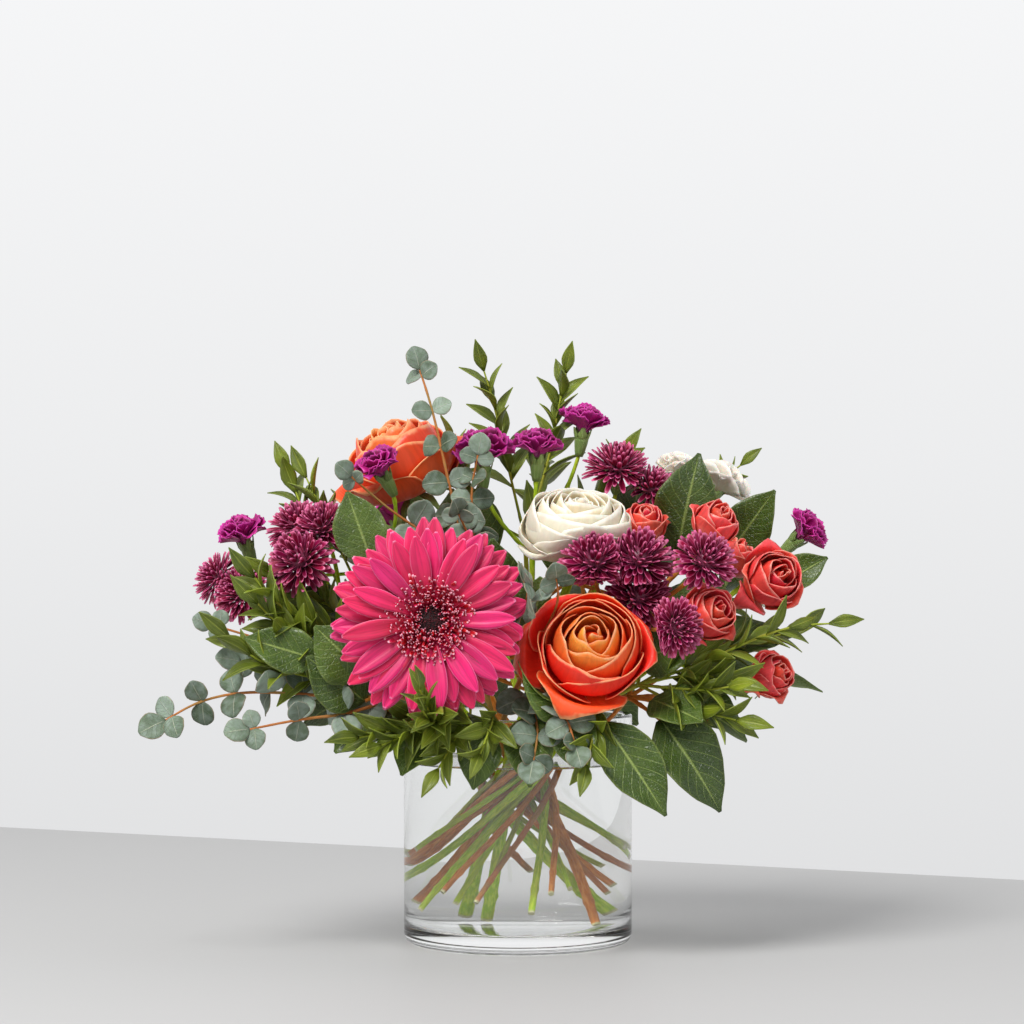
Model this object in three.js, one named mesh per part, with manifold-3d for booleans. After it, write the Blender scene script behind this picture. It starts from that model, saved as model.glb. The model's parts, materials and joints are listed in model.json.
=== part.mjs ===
// A mixed gerbera bouquet standing in a clear glass cylinder vase with water.
// Millimetres, +Z up. The origin is the centre of the vase's underside.
import * as THREE from "three";
import { mergeVertices } from "three/addons/utils/BufferGeometryUtils.js";
import Module from "manifold-3d";

const wasm = await Module();
wasm.setup();

// ---------------------------------------------------------------- driving dimensions

const VASE = { radius: 63.5, height: 127, wall: 3.5, floor: 9.5, heel: 6, segments: 26 };
const WATER = { level: 100, inset: 2 };
const GAP = 0.3; // between pieces that touch
const SEED = 41;

const STEM_WAIST = 84; // height at which the stems cross
const STEM_RIM = 138; // height at which they pass the rim
const RIM_REACH = 47; // furthest from the axis that a stem passes the rim
const RIM_SPREAD = 6; // how much further out than its straight line
const TURN = { waist: -1.9, foot: Math.PI - 0.25, rim: -0.25 }; // round the axis, from its bloom

// What stems and leaves keep clear of each other, of blooms and of the vase.
const CLEAR = { stem: 1.2, bloom: 0.8, wall: 0.9, floor: 1.2, leafBloom: 1.6, leafWall: 2.4 };

// Each bloom: its kind, centre, the way it faces, and its radius.
const BLOOMS = {
  gerbera: { kind: "gerbera", at: [-46, -97, 182], face: [0, -1, 0.05], radius: 52 },
  rose_front: { kind: "rose", at: [39, -89, 170], face: [0.05, -0.85, 0.45], radius: 39 },
  rose_back: { kind: "rose", at: [-68, 6, 272], face: [-0.35, -0.25, 0.9], radius: 41 },
  rose_white: { kind: "rose", at: [33, -43, 236], face: [0.1, -0.38, 0.93], radius: 34 },
  coral_a: { kind: "spray_rose", at: [108, -42, 234], face: [0.45, -0.5, 0.75], radius: 15.5 },
  coral_b: { kind: "spray_rose", at: [140, -36, 203], face: [0.35, -0.85, 0.3], radius: 20 },
  coral_c: { kind: "spray_rose", at: [104, -68, 185], face: [0.5, -0.75, 0.35], radius: 17 },
  coral_d: { kind: "spray_rose", at: [138, -50, 151], face: [0.6, -0.6, 0.3], radius: 15 },
  coral_e: { kind: "spray_rose", at: [70, -18, 234], face: [0.1, -0.5, 0.8], radius: 14 },
  coral_f: { kind: "spray_rose", at: [122, 0, 214], face: [0.5, -0.2, 0.8], radius: 14 },
  coral_back: { kind: "spray_rose", at: [-28, 84, 214], face: [-0.1, 0.85, 0.4], radius: 18 },
  mum_g: { kind: "mum", at: [41, -67, 213], face: [0, -0.8, 0.6], radius: 15.5 },
  mum_h: { kind: "mum", at: [65, -62, 214], face: [0.2, -0.8, 0.6], radius: 16 },
  mum_k: { kind: "mum", at: [65, -56, 194], face: [0.2, -0.8, 0.4], radius: 15 },
  mum_i: { kind: "mum", at: [100, -75, 213], face: [0.3, -0.8, 0.5], radius: 14 },
  mum_j: { kind: "mum", at: [84, -86, 178], face: [0.3, -0.9, 0.1], radius: 12.5 },
  mum_l: { kind: "mum", at: [56, 0, 264], face: [0.1, -0.4, 0.9], radius: 15.5 },
  mum_m: { kind: "mum", at: [75, 5, 252], face: [0.4, -0.3, 0.8], radius: 14 },
  mum_n: { kind: "mum", at: [-118, -56, 213], face: [-0.4, -0.8, 0.4], radius: 15.5 },
  mum_p: { kind: "mum", at: [-107, -44, 231], face: [-0.3, -0.6, 0.7], radius: 13.5 },
  mum_o: { kind: "mum", at: [-121, -28, 232], face: [-0.4, -0.4, 0.8], radius: 14 },
  mum_q: { kind: "mum", at: [-166, -20, 203], face: [-0.8, -0.4, 0.5], radius: 12 },
  mum_s: { kind: "mum", at: [-152, -33, 195], face: [-0.5, -0.8, 0.3], radius: 12.5 },
  mum_v: { kind: "mum", at: [62, 64, 224], face: [0.5, 0.7, 0.5], radius: 15.5 },
  mum_w: { kind: "mum", at: [41, 72, 215], face: [0.2, 0.9, 0.3], radius: 14.5 },
  mini_a: { kind: "carnation", at: [-76, -36, 264], face: [-0.45, -0.3, 0.85], radius: 12 },
  mini_b: { kind: "carnation", at: [-19, -10, 272], face: [0, -0.15, 1], radius: 16 },
  mini_c: { kind: "carnation", at: [11, -16, 275], face: [0.05, -0.2, 1], radius: 12.5 },
  mini_d: { kind: "carnation", at: [37, 6, 289], face: [0.15, -0.1, 1], radius: 12.5 },
  mini_e: { kind: "carnation", at: [161, 9, 228], face: [0.65, -0.1, 0.6], radius: 13 },
  mini_f: { kind: "carnation", at: [-153, -6, 227], face: [-0.3, -0.2, 0.9], radius: 12.5 },
  mini_g: { kind: "carnation", at: [-72, 68, 236], face: [-0.5, 0.6, 0.6], radius: 13 },
  white_a: { kind: "carnation", at: [89, 34, 266], face: [-0.25, 0, 0.95], radius: 13 },
  white_b: { kind: "carnation", at: [117, 44, 258], face: [0.5, 0, 0.85], radius: 17.5 },
};

// Bloom colours, and the material of every other piece.
const COLOURS = {
  glass: [0xdfe8e6, 0.05],
  water: [0xd6dedb, 0.05],
  gerbera_pink: [0xe0265c, 0.55],
  gerbera_red: [0xb02440, 0.6],
  gerbera_eye: [0x331416, 0.8],
  orange: [0xee3a16, 0.55],
  apricot: [0xe8603a, 0.55],
  cream: [0xdcd4ba, 0.55],
  coral: [0xdd6a5c, 0.55],
  burgundy: [0x7c2c3a, 0.7],
  magenta: [0xa81a6a, 0.65],
  white: [0xebe6da, 0.65],
  stem: [0x5f7a35, 0.5],
  eucalyptus: [0x74876c, 0.6],
  ruscus: [0x566a1c, 0.5],
  salal: [0x587032, 0.45],
};

// Which bloom nodes there are: a bloom, or a cluster that holds together, and its colour.
const HEADS = {
  rose_front_bloom: { blooms: ["rose_front"], colour: "orange" },
  rose_back_bloom: { blooms: ["rose_back"], colour: "apricot" },
  rose_white_bloom: { blooms: ["rose_white"], colour: "cream" },
  spray_rose_a: { blooms: ["coral_a"], colour: "coral" },
  spray_rose_b: { blooms: ["coral_b"], colour: "coral" },
  spray_rose_c: { blooms: ["coral_c"], colour: "coral" },
  spray_rose_d: { blooms: ["coral_d"], colour: "coral" },
  spray_rose_e: { blooms: ["coral_e"], colour: "coral" },
  spray_rose_f: { blooms: ["coral_f"], colour: "coral" },
  spray_rose_back: { blooms: ["coral_back"], colour: "coral" },
  mums_right: { blooms: ["mum_g", "mum_h", "mum_k"], colour: "burgundy" },
  mum_high_right: { blooms: ["mum_i"], colour: "burgundy" },
  mum_low_right: { blooms: ["mum_j"], colour: "burgundy" },
  mums_top: { blooms: ["mum_l", "mum_m"], colour: "burgundy" },
  mums_left: { blooms: ["mum_n", "mum_p", "mum_o"], colour: "burgundy" },
  mums_far_left: { blooms: ["mum_q", "mum_s"], colour: "burgundy" },
  mums_back: { blooms: ["mum_v", "mum_w"], colour: "burgundy" },
  carnation_mini_a: { blooms: ["mini_a"], colour: "magenta" },
  carnation_mini_b: { blooms: ["mini_b"], colour: "magenta" },
  carnation_mini_c: { blooms: ["mini_c"], colour: "magenta" },
  carnation_mini_d: { blooms: ["mini_d"], colour: "magenta" },
  carnation_mini_e: { blooms: ["mini_e"], colour: "magenta" },
  carnation_mini_f: { blooms: ["mini_f"], colour: "magenta" },
  carnation_mini_g: { blooms: ["mini_g"], colour: "magenta" },
  carnation_white_a: { blooms: ["white_a"], colour: "white" },
  carnation_white_b: { blooms: ["white_b"], colour: "white" },
};

// Each plant: radius of its stem, distance of its stem from the axis at the waist, how far out
// and how high its cut end stands, where it forks, and its branches. A branch ends in a bloom,
// or follows a path and carries leaves.
const PLANTS = {
  gerbera_stem: { radius: 3.2, ring: 20, foot: [44, 14], colour: "stem", branches: [{ bloom: "gerbera" }] },
  rose_front_stem: {
    radius: 2.9, ring: 15, foot: [46, 14], colour: "stem", branches: [{ bloom: "rose_front" }],
  },
  rose_back_stem: {
    radius: 3.0, ring: 12, foot: [47, 13], colour: "stem", branches: [{ bloom: "rose_back" }],
  },
  rose_white_stem: {
    radius: 2.7, ring: 7, foot: [40, 14], colour: "stem", branches: [{ bloom: "rose_white" }],
  },
  spray_rose_stem_high: {
    radius: 2.2, ring: 9, foot: [49, 24], colour: "stem", fork: [72, -14, 190],
    branches: [{ bloom: "coral_a" }, { bloom: "coral_e" }, { bloom: "coral_f" }],
  },
  spray_rose_stem_low: {
    radius: 2.2, ring: 21, foot: [48, 30], colour: "stem", fork: [80, -28, 160],
    branches: [{ bloom: "coral_b" }, { bloom: "coral_c" }, { bloom: "coral_d" }],
  },
  spray_rose_stem_back: {
    radius: 2.1, ring: 15, foot: [44, 22], colour: "stem", branches: [{ bloom: "coral_back" }],
  },
  mum_stem_right: {
    radius: 1.9, ring: 14, foot: [47, 40], colour: "stem", fork: [56, -34, 176],
    branches: [
      { bloom: "mum_k" }, { bloom: "mum_g" }, { bloom: "mum_h" }, { bloom: "mum_i" }, { bloom: "mum_j" },
    ],
  },
  mum_stem_top: {
    radius: 1.8, ring: 5, foot: [42, 34], colour: "stem", fork: [52, 6, 226],
    branches: [{ bloom: "mum_l" }, { bloom: "mum_m" }],
  },
  mum_stem_left: {
    radius: 1.9, ring: 18, foot: [50, 46], colour: "stem", fork: [-94, -22, 184],
    branches: [
      { bloom: "mum_n" }, { bloom: "mum_p" }, { bloom: "mum_o" }, { bloom: "mum_q" }, { bloom: "mum_s" },
    ],
  },
  mum_stem_back: {
    radius: 1.8, ring: 12, foot: [46, 30], colour: "stem", fork: [38, 44, 186],
    branches: [{ bloom: "mum_v" }, { bloom: "mum_w" }],
  },
  carnation_stem_left: {
    radius: 1.6, ring: 10, foot: [50, 56], colour: "stem", fork: [-76, -12, 206],
    branches: [{ bloom: "mini_a" }, { bloom: "mini_f" }],
  },
  carnation_stem_top: {
    radius: 1.7, ring: 3, foot: [30, 24], colour: "stem", fork: [8, 4, 214],
    branches: [{ bloom: "mini_b" }, { bloom: "mini_c" }, { bloom: "mini_d" }],
  },
  carnation_stem_right: {
    radius: 1.6, ring: 16, foot: [50, 62], colour: "stem", branches: [{ bloom: "mini_e" }],
  },
  carnation_stem_back: {
    radius: 1.6, ring: 8, foot: [44, 36], colour: "stem", branches: [{ bloom: "mini_g" }],
  },
  carnation_white_stem: {
    radius: 1.9, ring: 11, foot: [47, 20], colour: "stem", fork: [78, 34, 210],
    branches: [{ bloom: "white_a" }, { bloom: "white_b" }],
  },
  eucalyptus_top: {
    radius: 1.6, ring: 12, foot: [38, 26], colour: "eucalyptus", fork: [-26, -20, 205],
    branches: [
      {
        path: [[-33, -30, 236], [-39, -33, 262], [-44, -30, 285], [-49, -26, 303], [-54, -23, 317]],
        leaves: { kind: "round", size: 17, count: 6, from: 0.1 }, front: [0.2, -1, 0.2],
      },
      {
        path: [[-50, -36, 228], [-72, -46, 240], [-90, -52, 258]],
        leaves: { kind: "round", size: 15, count: 2, from: 0.5 }, front: [-0.3, -1, 0.4],
      },
      {
        path: [[-22, -50, 222], [-32, -62, 238]],
        leaves: { kind: "round", size: 16, count: 2, from: 0.5 }, front: [0, -1, 0.4],
      },
    ],
  },
  eucalyptus_front: {
    radius: 1.6, ring: 22, foot: [42, 30], colour: "eucalyptus", fork: [2, -56, 150],
    branches: [
      {
        path: [[4, -76, 176], [5, -98, 192], [3, -118, 203]],
        leaves: { kind: "round", size: 18, count: 3, from: 0.5 }, front: [0, -1, 0.4],
      },
      {
        path: [[8, -74, 138], [14, -86, 124], [8, -94, 108]],
        leaves: { kind: "round", size: 19, count: 4, from: 0.3 }, front: [0, -1, 0.2],
      },
    ],
  },
  eucalyptus_left: {
    radius: 1.7, ring: 20, foot: [48, 34], colour: "eucalyptus", fork: [-64, -58, 140],
    branches: [
      {
        path: [[-93, -64, 138], [-120, -68, 142], [-150, -72, 146], [-174, -74, 141], [-188, -74, 128]],
        leaves: { kind: "round", size: 20, count: 7, from: 0.12 }, front: [-0.2, -1, 0.3],
      },
      {
        path: [[-90, -74, 128], [-116, -84, 130], [-142, -88, 124]],
        leaves: { kind: "round", size: 18, count: 3, from: 0.4 }, front: [-0.2, -1, 0.3],
      },
      {
        path: [[-104, -58, 158], [-136, -58, 170], [-164, -58, 178]],
        leaves: { kind: "round", size: 15, count: 3, from: 0.55 }, front: [-0.4, -1, 0.4],
      },
    ],
  },
  eucalyptus_back: {
    radius: 1.7, ring: 18, foot: [46, 26], colour: "eucalyptus", fork: [14, 60, 150],
    branches: [
      {
        path: [[22, 82, 168], [30, 100, 186], [34, 112, 208]],
        leaves: { kind: "round", size: 18, count: 3, from: 0.4 }, front: [0.1, 1, 0.3],
      },
      {
        path: [[4, 84, 142], [-8, 102, 140], [-16, 114, 128]],
        leaves: { kind: "round", size: 18, count: 3, from: 0.4 }, front: [0, 1, 0.3],
      },
    ],
  },
  ruscus_top: {
    radius: 1.4, ring: 4, foot: [34, 44], colour: "ruscus", fork: [4, 18, 224],
    branches: [
      {
        path: [[-3, 19, 256], [-9, 17, 282], [-14, 14, 304], [-19, 11, 318]],
        leaves: { kind: "narrow", size: 24, count: 8, from: 0.3 }, front: [0, -1, 0.3],
      },
      {
        path: [[12, 24, 250], [20, 24, 276], [24, 18, 300], [27, 15, 317]],
        leaves: { kind: "narrow", size: 24, count: 8, from: 0.35 }, front: [0, -1, 0.3],
      },
    ],
  },
  ruscus_left: {
    radius: 1.4, ring: 22, foot: [49, 52], colour: "ruscus", fork: [-74, -38, 160],
    branches: [
      {
        path: [[-100, -50, 172], [-124, -66, 182], [-140, -72, 198], [-150, -70, 214]],
        leaves: { kind: "narrow", size: 27, count: 8, from: 0.25 }, front: [-0.4, -1, 0.3],
      },
      {
        path: [[-98, -22, 192], [-112, -6, 222], [-122, 2, 246], [-128, 6, 260]],
        leaves: { kind: "narrow", size: 26, count: 6, from: 0.5 }, front: [-0.2, -1, 0.3],
      },
    ],
  },
  ruscus_front: {
    radius: 1.4, ring: 24, foot: [44, 40], colour: "ruscus", fork: [-30, -58, 138],
    branches: [
      {
        path: [[-38, -78, 137], [-46, -102, 140], [-51, -124, 147]],
        leaves: { kind: "narrow", size: 22, count: 7, from: 0.3 }, front: [0, -0.6, 1],
      },
      {
        path: [[-46, -74, 128], [-64, -86, 122], [-84, -92, 120]],
        leaves: { kind: "narrow", size: 26, count: 6, from: 0.3 }, front: [-0.1, -1, 0.3],
      },
    ],
  },
  ruscus_right: {
    radius: 1.5, ring: 23, foot: [48, 44], colour: "ruscus", fork: [66, -48, 144],
    branches: [
      {
        path: [[98, -66, 154], [126, -74, 163], [150, -72, 168], [172, -66, 171]],
        leaves: { kind: "narrow", size: 24, count: 8, from: 0.2 }, front: [0.2, -1, 0.3],
      },
      {
        path: [[84, -64, 142], [104, -80, 146], [126, -84, 152]],
        leaves: { kind: "narrow", size: 24, count: 6, from: 0.25 }, front: [0.1, -1, 0.3],
      },
    ],
  },
  salal_right: {
    radius: 1.7, ring: 9, foot: [49, 48], colour: "salal", fork: [78, 8, 186],
    branches: [
      { leaf: { base: [89, 0, 216], tip: [100, -10, 271], width: 38, up: [0, -1, 0.1] } },
      { leaf: { base: [119, 32, 214], tip: [144, 12, 251], width: 30, up: [0.2, -1, 0.4] } },
      { leaf: { base: [140, 8, 192], tip: [172, -2, 214], width: 24, up: [0.2, -0.8, 0.7] } },
      { leaf: { base: [108, 34, 190], tip: [148, 48, 196], width: 34, up: [0.3, 0.3, 0.9] } },
    ],
  },
  salal_right_low: {
    radius: 1.8, ring: 20, foot: [46, 36], colour: "salal", fork: [60, -40, 140],
    branches: [
      { leaf: { base: [98, -12, 138], tip: [169, -8, 143], width: 34, up: [0, -0.5, 0.9] } },
      { leaf: { base: [46, -80, 126], tip: [78, -93, 79], width: 32, up: [0, -1, 0.2] } },
      { leaf: { base: [76, -70, 128], tip: [108, -80, 80], width: 38, up: [0.3, -1, 0.3] } },
      { leaf: { base: [30, -82, 130], tip: [2, -96, 160], width: 30, up: [0, -1, 0.3] } },
    ],
  },
  salal_left: {
    radius: 1.8, ring: 16, foot: [45, 32], colour: "salal", fork: [-58, -66, 152],
    branches: [
      { leaf: { base: [-80, -74, 152], tip: [-108, -84, 178], width: 34, up: [-0.2, -1, 0.2] } },
      { leaf: { base: [-106, -76, 160], tip: [-146, -78, 172], width: 26, up: [-0.2, -1, 0.2] } },
      { leaf: { base: [-78, -70, 212], tip: [-92, -66, 250], width: 30, up: [-0.2, -1, 0.2] } },
      { leaf: { base: [-18, -78, 124], tip: [-24, -86, 92], width: 24, up: [0, -1, 0.2] } },
    ],
  },
  salal_back: {
    radius: 1.8, ring: 14, foot: [45, 30], colour: "salal", fork: [-34, 54, 152],
    branches: [
      { leaf: { base: [-48, 74, 168], tip: [-86, 100, 190], width: 42, up: [-0.2, 1, 0.4] } },
      { leaf: { base: [-14, 74, 150], tip: [-42, 104, 120], width: 40, up: [0, 1, 0.3] } },
      { leaf: { base: [-62, 56, 152], tip: [-118, 62, 160], width: 38, up: [-0.4, 0.5, 0.8] } },
      { leaf: { base: [-56, 58, 196], tip: [-104, 60, 224], width: 34, up: [-0.4, 0.9, 0.4] } },
    ],
  },
};

// How deep each kind of bloom is from its seat on the calyx to its centre, in radii, the half
// depth of the room it takes, and the calyx below it: its length and its radius, in mm.
const KINDS = {
  gerbera: { seat: 0.09, depth: 0.15, calyx: [7, 9] },
  rose: { seat: 0.62, depth: 0.62, calyx: [8, 6.5] },
  spray_rose: { seat: 0.75, depth: 0.85, calyx: [6, 3.6] },
  mum: { seat: 0.84, depth: 0.95, calyx: [3.5, 3.2] },
  carnation: { seat: 0.5, depth: 0.55, calyx: [13, 4.2] },
};

// ---------------------------------------------------------------- small helpers

// A repeatable random number between low and high.
function seeded(seed) {
  let state = seed >>> 0;
  return (low = 0, high = 1) => {
    state = (state + 0x6d2b79f5) >>> 0;
    let t = Math.imul(state ^ (state >>> 15), 1 | state);
    t = (t + Math.imul(t ^ (t >>> 7), 61 | t)) ^ t;
    return low + (((t ^ (t >>> 14)) >>> 0) / 4294967296) * (high - low);
  };
}

const vec = (a) => new THREE.Vector3(a[0], a[1], a[2]);
const unit = (a) => vec(a).normalize();
const lerp = THREE.MathUtils.lerp;
const TAU = 2 * Math.PI;
const onCircle = (radius, angle, z) =>
  new THREE.Vector3(radius * Math.cos(angle), radius * Math.sin(angle), z);

// Turns +Z to a direction, with the local X level, at a place, after a roll about +Z.
function pose(at, face, roll = 0) {
  const z = face.clone().normalize();
  const x = new THREE.Vector3(0, 0, 1).cross(z);
  if (x.lengthSq() < 1e-6) x.set(1, 0, 0);
  x.normalize();
  const y = z.clone().cross(x);
  return new THREE.Matrix4()
    .makeBasis(x, y, z)
    .multiply(new THREE.Matrix4().makeRotationZ(roll))
    .setPosition(at);
}

// A closed mesh as a solid.
function solid(points, faces) {
  const geometry = new THREE.BufferGeometry();
  const flat = faces.flatMap(([a, b, c]) => [a, b, c].flatMap((i) => points[i].toArray()));
  geometry.setAttribute("position", new THREE.Float32BufferAttribute(flat, 3));
  return solidOf(geometry);
}

function solidOf(geometry) {
  const bare = new THREE.BufferGeometry();
  const source = geometry.index ? geometry.toNonIndexed() : geometry;
  bare.setAttribute("position", source.getAttribute("position"));
  const merged = mergeVertices(bare, 1e-4);
  return new wasm.Manifold(
    new wasm.Mesh({
      numProp: 3,
      vertProperties: new Float32Array(merged.attributes.position.array),
      triVerts: new Uint32Array(merged.index.array),
    }),
  );
}

const join = (solids) => solids.reduce((sum, next) => sum.add(next));

// The largest body of a solid: scraps that a cut sets free are dropped.
function largest(shape) {
  return shape.decompose().reduce((best, next) => (next.volume() > best.volume() ? next : best));
}

// Rings of points joined into a closed skin between a start point and an end point.
function loft(rings, start, end) {
  const sides = rings[0].length;
  const points = [start, end, ...rings.flat()];
  const at = (ring, side) => 2 + ring * sides + (side % sides);
  const faces = [];
  for (let i = 0; i < sides; i += 1) {
    faces.push([0, at(0, i + 1), at(0, i)], [1, at(rings.length - 1, i), at(rings.length - 1, i + 1)]);
    for (let ring = 0; ring + 1 < rings.length; ring += 1) {
      faces.push([at(ring, i), at(ring, i + 1), at(ring + 1, i + 1)]);
      faces.push([at(ring, i), at(ring + 1, i + 1), at(ring + 1, i)]);
    }
  }
  return solid(points, faces);
}

// A round bar along points, each with its radius.
function bar(path, radii, sides) {
  const side = new THREE.Vector3();
  const rings = path.map((point, i) => {
    const before = path[Math.max(i - 1, 0)];
    const after = path[Math.min(i + 1, path.length - 1)];
    const along = after.clone().sub(before).normalize();
    if (!i) side.set(Math.abs(along.x) < 0.8 ? 1 : 0, Math.abs(along.x) < 0.8 ? 0 : 1, 0);
    side.addScaledVector(along, -side.dot(along)).normalize();
    const other = along.clone().cross(side);
    return Array.from({ length: sides }, (_, k) => {
      const angle = (TAU * k) / sides;
      return point
        .clone()
        .addScaledVector(side, radii[i] * Math.cos(angle))
        .addScaledVector(other, radii[i] * Math.sin(angle));
    });
  });
  return loft(rings, path[0].clone(), path[path.length - 1].clone());
}

// A curved sheet of one thickness over a grid of points, drawn in to a point at its foot.
function petalSheet(foot, grid, thickness) {
  const rows = grid.length;
  const columns = grid[0].length;
  const clamp = (i, n) => Math.min(Math.max(i, 0), n - 1);
  const normal = (i, j) => {
    const across = grid[i][clamp(j + 1, columns)].clone().sub(grid[i][clamp(j - 1, columns)]);
    const along = grid[clamp(i + 1, rows)][j].clone().sub(grid[clamp(i - 1, rows)][j]);
    return across.cross(along).normalize();
  };
  const faceOf = (sign) =>
    grid.flatMap((row, i) =>
      row.map((p, j) => p.clone().addScaledVector(normal(i, j), (sign * thickness) / 2)),
    );
  const points = [...faceOf(1), ...faceOf(-1), foot];
  const under = rows * columns;
  const root = 2 * under;
  const id = (i, j) => i * columns + j;
  const faces = [
    [root, under + id(0, columns - 1), id(0, columns - 1)],
    [root, id(0, 0), under + id(0, 0)],
  ];
  for (let j = 0; j + 1 < columns; j += 1) {
    faces.push([root, id(0, j + 1), id(0, j)], [root, under + id(0, j), under + id(0, j + 1)]);
  }
  for (let i = 0; i + 1 < rows; i += 1) {
    for (let j = 0; j + 1 < columns; j += 1) {
      const [a, b, c, d] = [id(i, j), id(i, j + 1), id(i + 1, j + 1), id(i + 1, j)];
      faces.push([a, b, c], [a, c, d]);
      faces.push([under + a, under + c, under + b], [under + a, under + d, under + c]);
    }
  }
  const edge = [];
  for (let i = 0; i + 1 < rows; i += 1) edge.push([id(i, columns - 1), id(i + 1, columns - 1)]);
  for (let j = columns - 1; j > 0; j -= 1) edge.push([id(rows - 1, j), id(rows - 1, j - 1)]);
  for (let i = rows - 1; i > 0; i -= 1) edge.push([id(i, 0), id(i - 1, 0)]);
  edge.forEach(([a, b]) => faces.push([a, under + b, b], [a, under + a, under + b]));
  return solid(points, faces);
}

// ---------------------------------------------------------------- the room each bloom takes

function roomOf(bloom) {
  const face = unit(bloom.face);
  const kind = KINDS[bloom.kind];
  const centre = vec(bloom.at);
  const seat = centre.clone().addScaledVector(face, -kind.seat * bloom.radius);
  return { ...bloom, face, centre, seat, half: kind.depth * bloom.radius, calyx: kind.calyx };
}

const ROOMS = Object.fromEntries(Object.entries(BLOOMS).map(([name, b]) => [name, roomOf(b)]));

// How far a bloom's room reaches along a direction from its centre.
function reachAlong(room, direction) {
  const axial = room.face.dot(direction);
  return Math.hypot(room.half * axial, room.radius * Math.sqrt(Math.max(0, 1 - axial * axial)));
}

// Moves a point out of a bloom's room, with a margin, and says whether it was inside.
function pushOut(point, room, margin) {
  const offset = point.clone().sub(room.centre);
  const axial = offset.dot(room.face);
  const radial = offset.clone().addScaledVector(room.face, -axial);
  const measure = Math.hypot(axial / (room.half + margin), radial.length() / (room.radius + margin));
  if (measure >= 1 || measure < 1e-3) return false;
  point.copy(room.centre).addScaledVector(offset, 1 / measure);
  return true;
}

// Planes halfway between a bloom and the others that its room meets.
function borders(name, ownNode) {
  const room = ROOMS[name];
  return Object.entries(ROOMS).flatMap(([other, rival]) => {
    if (other === name || ownNode.includes(other)) return [];
    const toward = rival.centre.clone().sub(room.centre);
    const distance = toward.length();
    toward.normalize();
    const mine = reachAlong(room, toward);
    const theirs = reachAlong(rival, toward);
    if (mine + theirs < distance - GAP) return [];
    const share = Math.min(Math.max((distance * mine) / (mine + theirs), 4), distance - 4);
    return [{ point: room.centre.clone().addScaledVector(toward, share - GAP / 2), normal: toward }];
  });
}

const CUTTER = 160;

// Cuts away what lies beyond a plane.
function cutBeyond(shape, { point, normal }) {
  const box = new THREE.BoxGeometry(CUTTER, CUTTER, CUTTER);
  box.translate(0, 0, CUTTER / 2);
  box.applyMatrix4(pose(point, normal));
  return shape.subtract(solidOf(box));
}

// ---------------------------------------------------------------- blooms, in their own frame:
// the seat is the origin and the bloom faces +Z

// One petal of a cup: a patch of a surface of revolution whose rim can turn out. Its columns
// fall on the layer's own steps round the axis, and it leans out along them, so that each petal
// passes over the next at an even distance.
function cupPetal({ radius, height, bulge, rim, rimHeight, first, step, columns, tuck, base }) {
  const curve = new THREE.CubicBezierCurve(
    new THREE.Vector2(0.1 * radius, base),
    new THREE.Vector2(1.2 * bulge, base),
    new THREE.Vector2(1.05 * bulge, 0.72 * rimHeight),
    new THREE.Vector2(rim, rimHeight),
  );
  const place = (t, j) => {
    const u = 1 - (2 * j) / columns;
    const on = curve.getPoint(t * (1 - 0.16 * u * u * t));
    const r = on.x + tuck * u * (0.5 + 0.5 * t);
    const turn = first - j * step;
    return onCircle(r, turn, on.y - tuck * u * (1 - t));
  };
  const grid = [0.55, 1].map((t) => Array.from({ length: columns + 1 }, (_, j) => place(t, j)));
  return petalSheet(place(0.05, columns / 2), grid, PETAL_THICK);
}

// Layers of petals from the heart out, as shares of the bloom's radius and height. Each petal
// is as many steps wide as it has columns, and the next one starts one step before it ends.
const PETAL_THICK = 1;
const ROSE_LAYERS = [
  { count: 3, bulge: 0.4, rim: 0.34, base: 0.25, rimHeight: 1, tuck: 0.05, columns: 3 },
  { count: 4, bulge: 0.62, rim: 0.66, base: 0.15, rimHeight: 0.88, tuck: 0.05, columns: 3 },
  { count: 5, bulge: 0.8, rim: 1, base: 0.05, rimHeight: 0.62, tuck: 0.05, columns: 3 },
];
const SPRAY_LAYERS = [
  { count: 4, bulge: 0.8, rim: 0.97, base: 0.08, rimHeight: 0.8, tuck: 0.09, columns: 3 },
];
const ROSE_CORE = [[0, 0], [0.3, 0], [0.3, 0.3], [0.14, 0.32], [0.16, 0.9], [0, 0.84]];
const SPRAY_CORE = [[0, 0], [0.36, 0], [0.36, 0.14], [0.52, 0.68], [0.26, 1], [0, 0.86]];

function rose(room, random, layers, core, tall) {
  const { radius } = room;
  const height = tall * radius;
  const bud = new THREE.LatheGeometry(
    core.map(([r, z]) => new THREE.Vector2(r * radius, z * height)), 6,
  );
  bud.rotateX(Math.PI / 2);
  const petals = layers.flatMap((layer, level) => {
    const step = TAU / (layer.count * (layer.columns - 1));
    return Array.from({ length: layer.count }, (_, k) =>
      cupPetal({
        radius,
        height,
        bulge: layer.bulge * radius,
        rim: layer.rim * radius,
        rimHeight: layer.rimHeight * height * random(0.95, 1.02),
        first: 0.9 * level - k * step * (layer.columns - 1),
        step,
        tuck: layer.tuck * radius,
        base: layer.base * height,
        columns: layer.columns,
      }),
    );
  });
  return join([solidOf(bud), ...petals]);
}

const MUM_CORE = 0.8;

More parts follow.
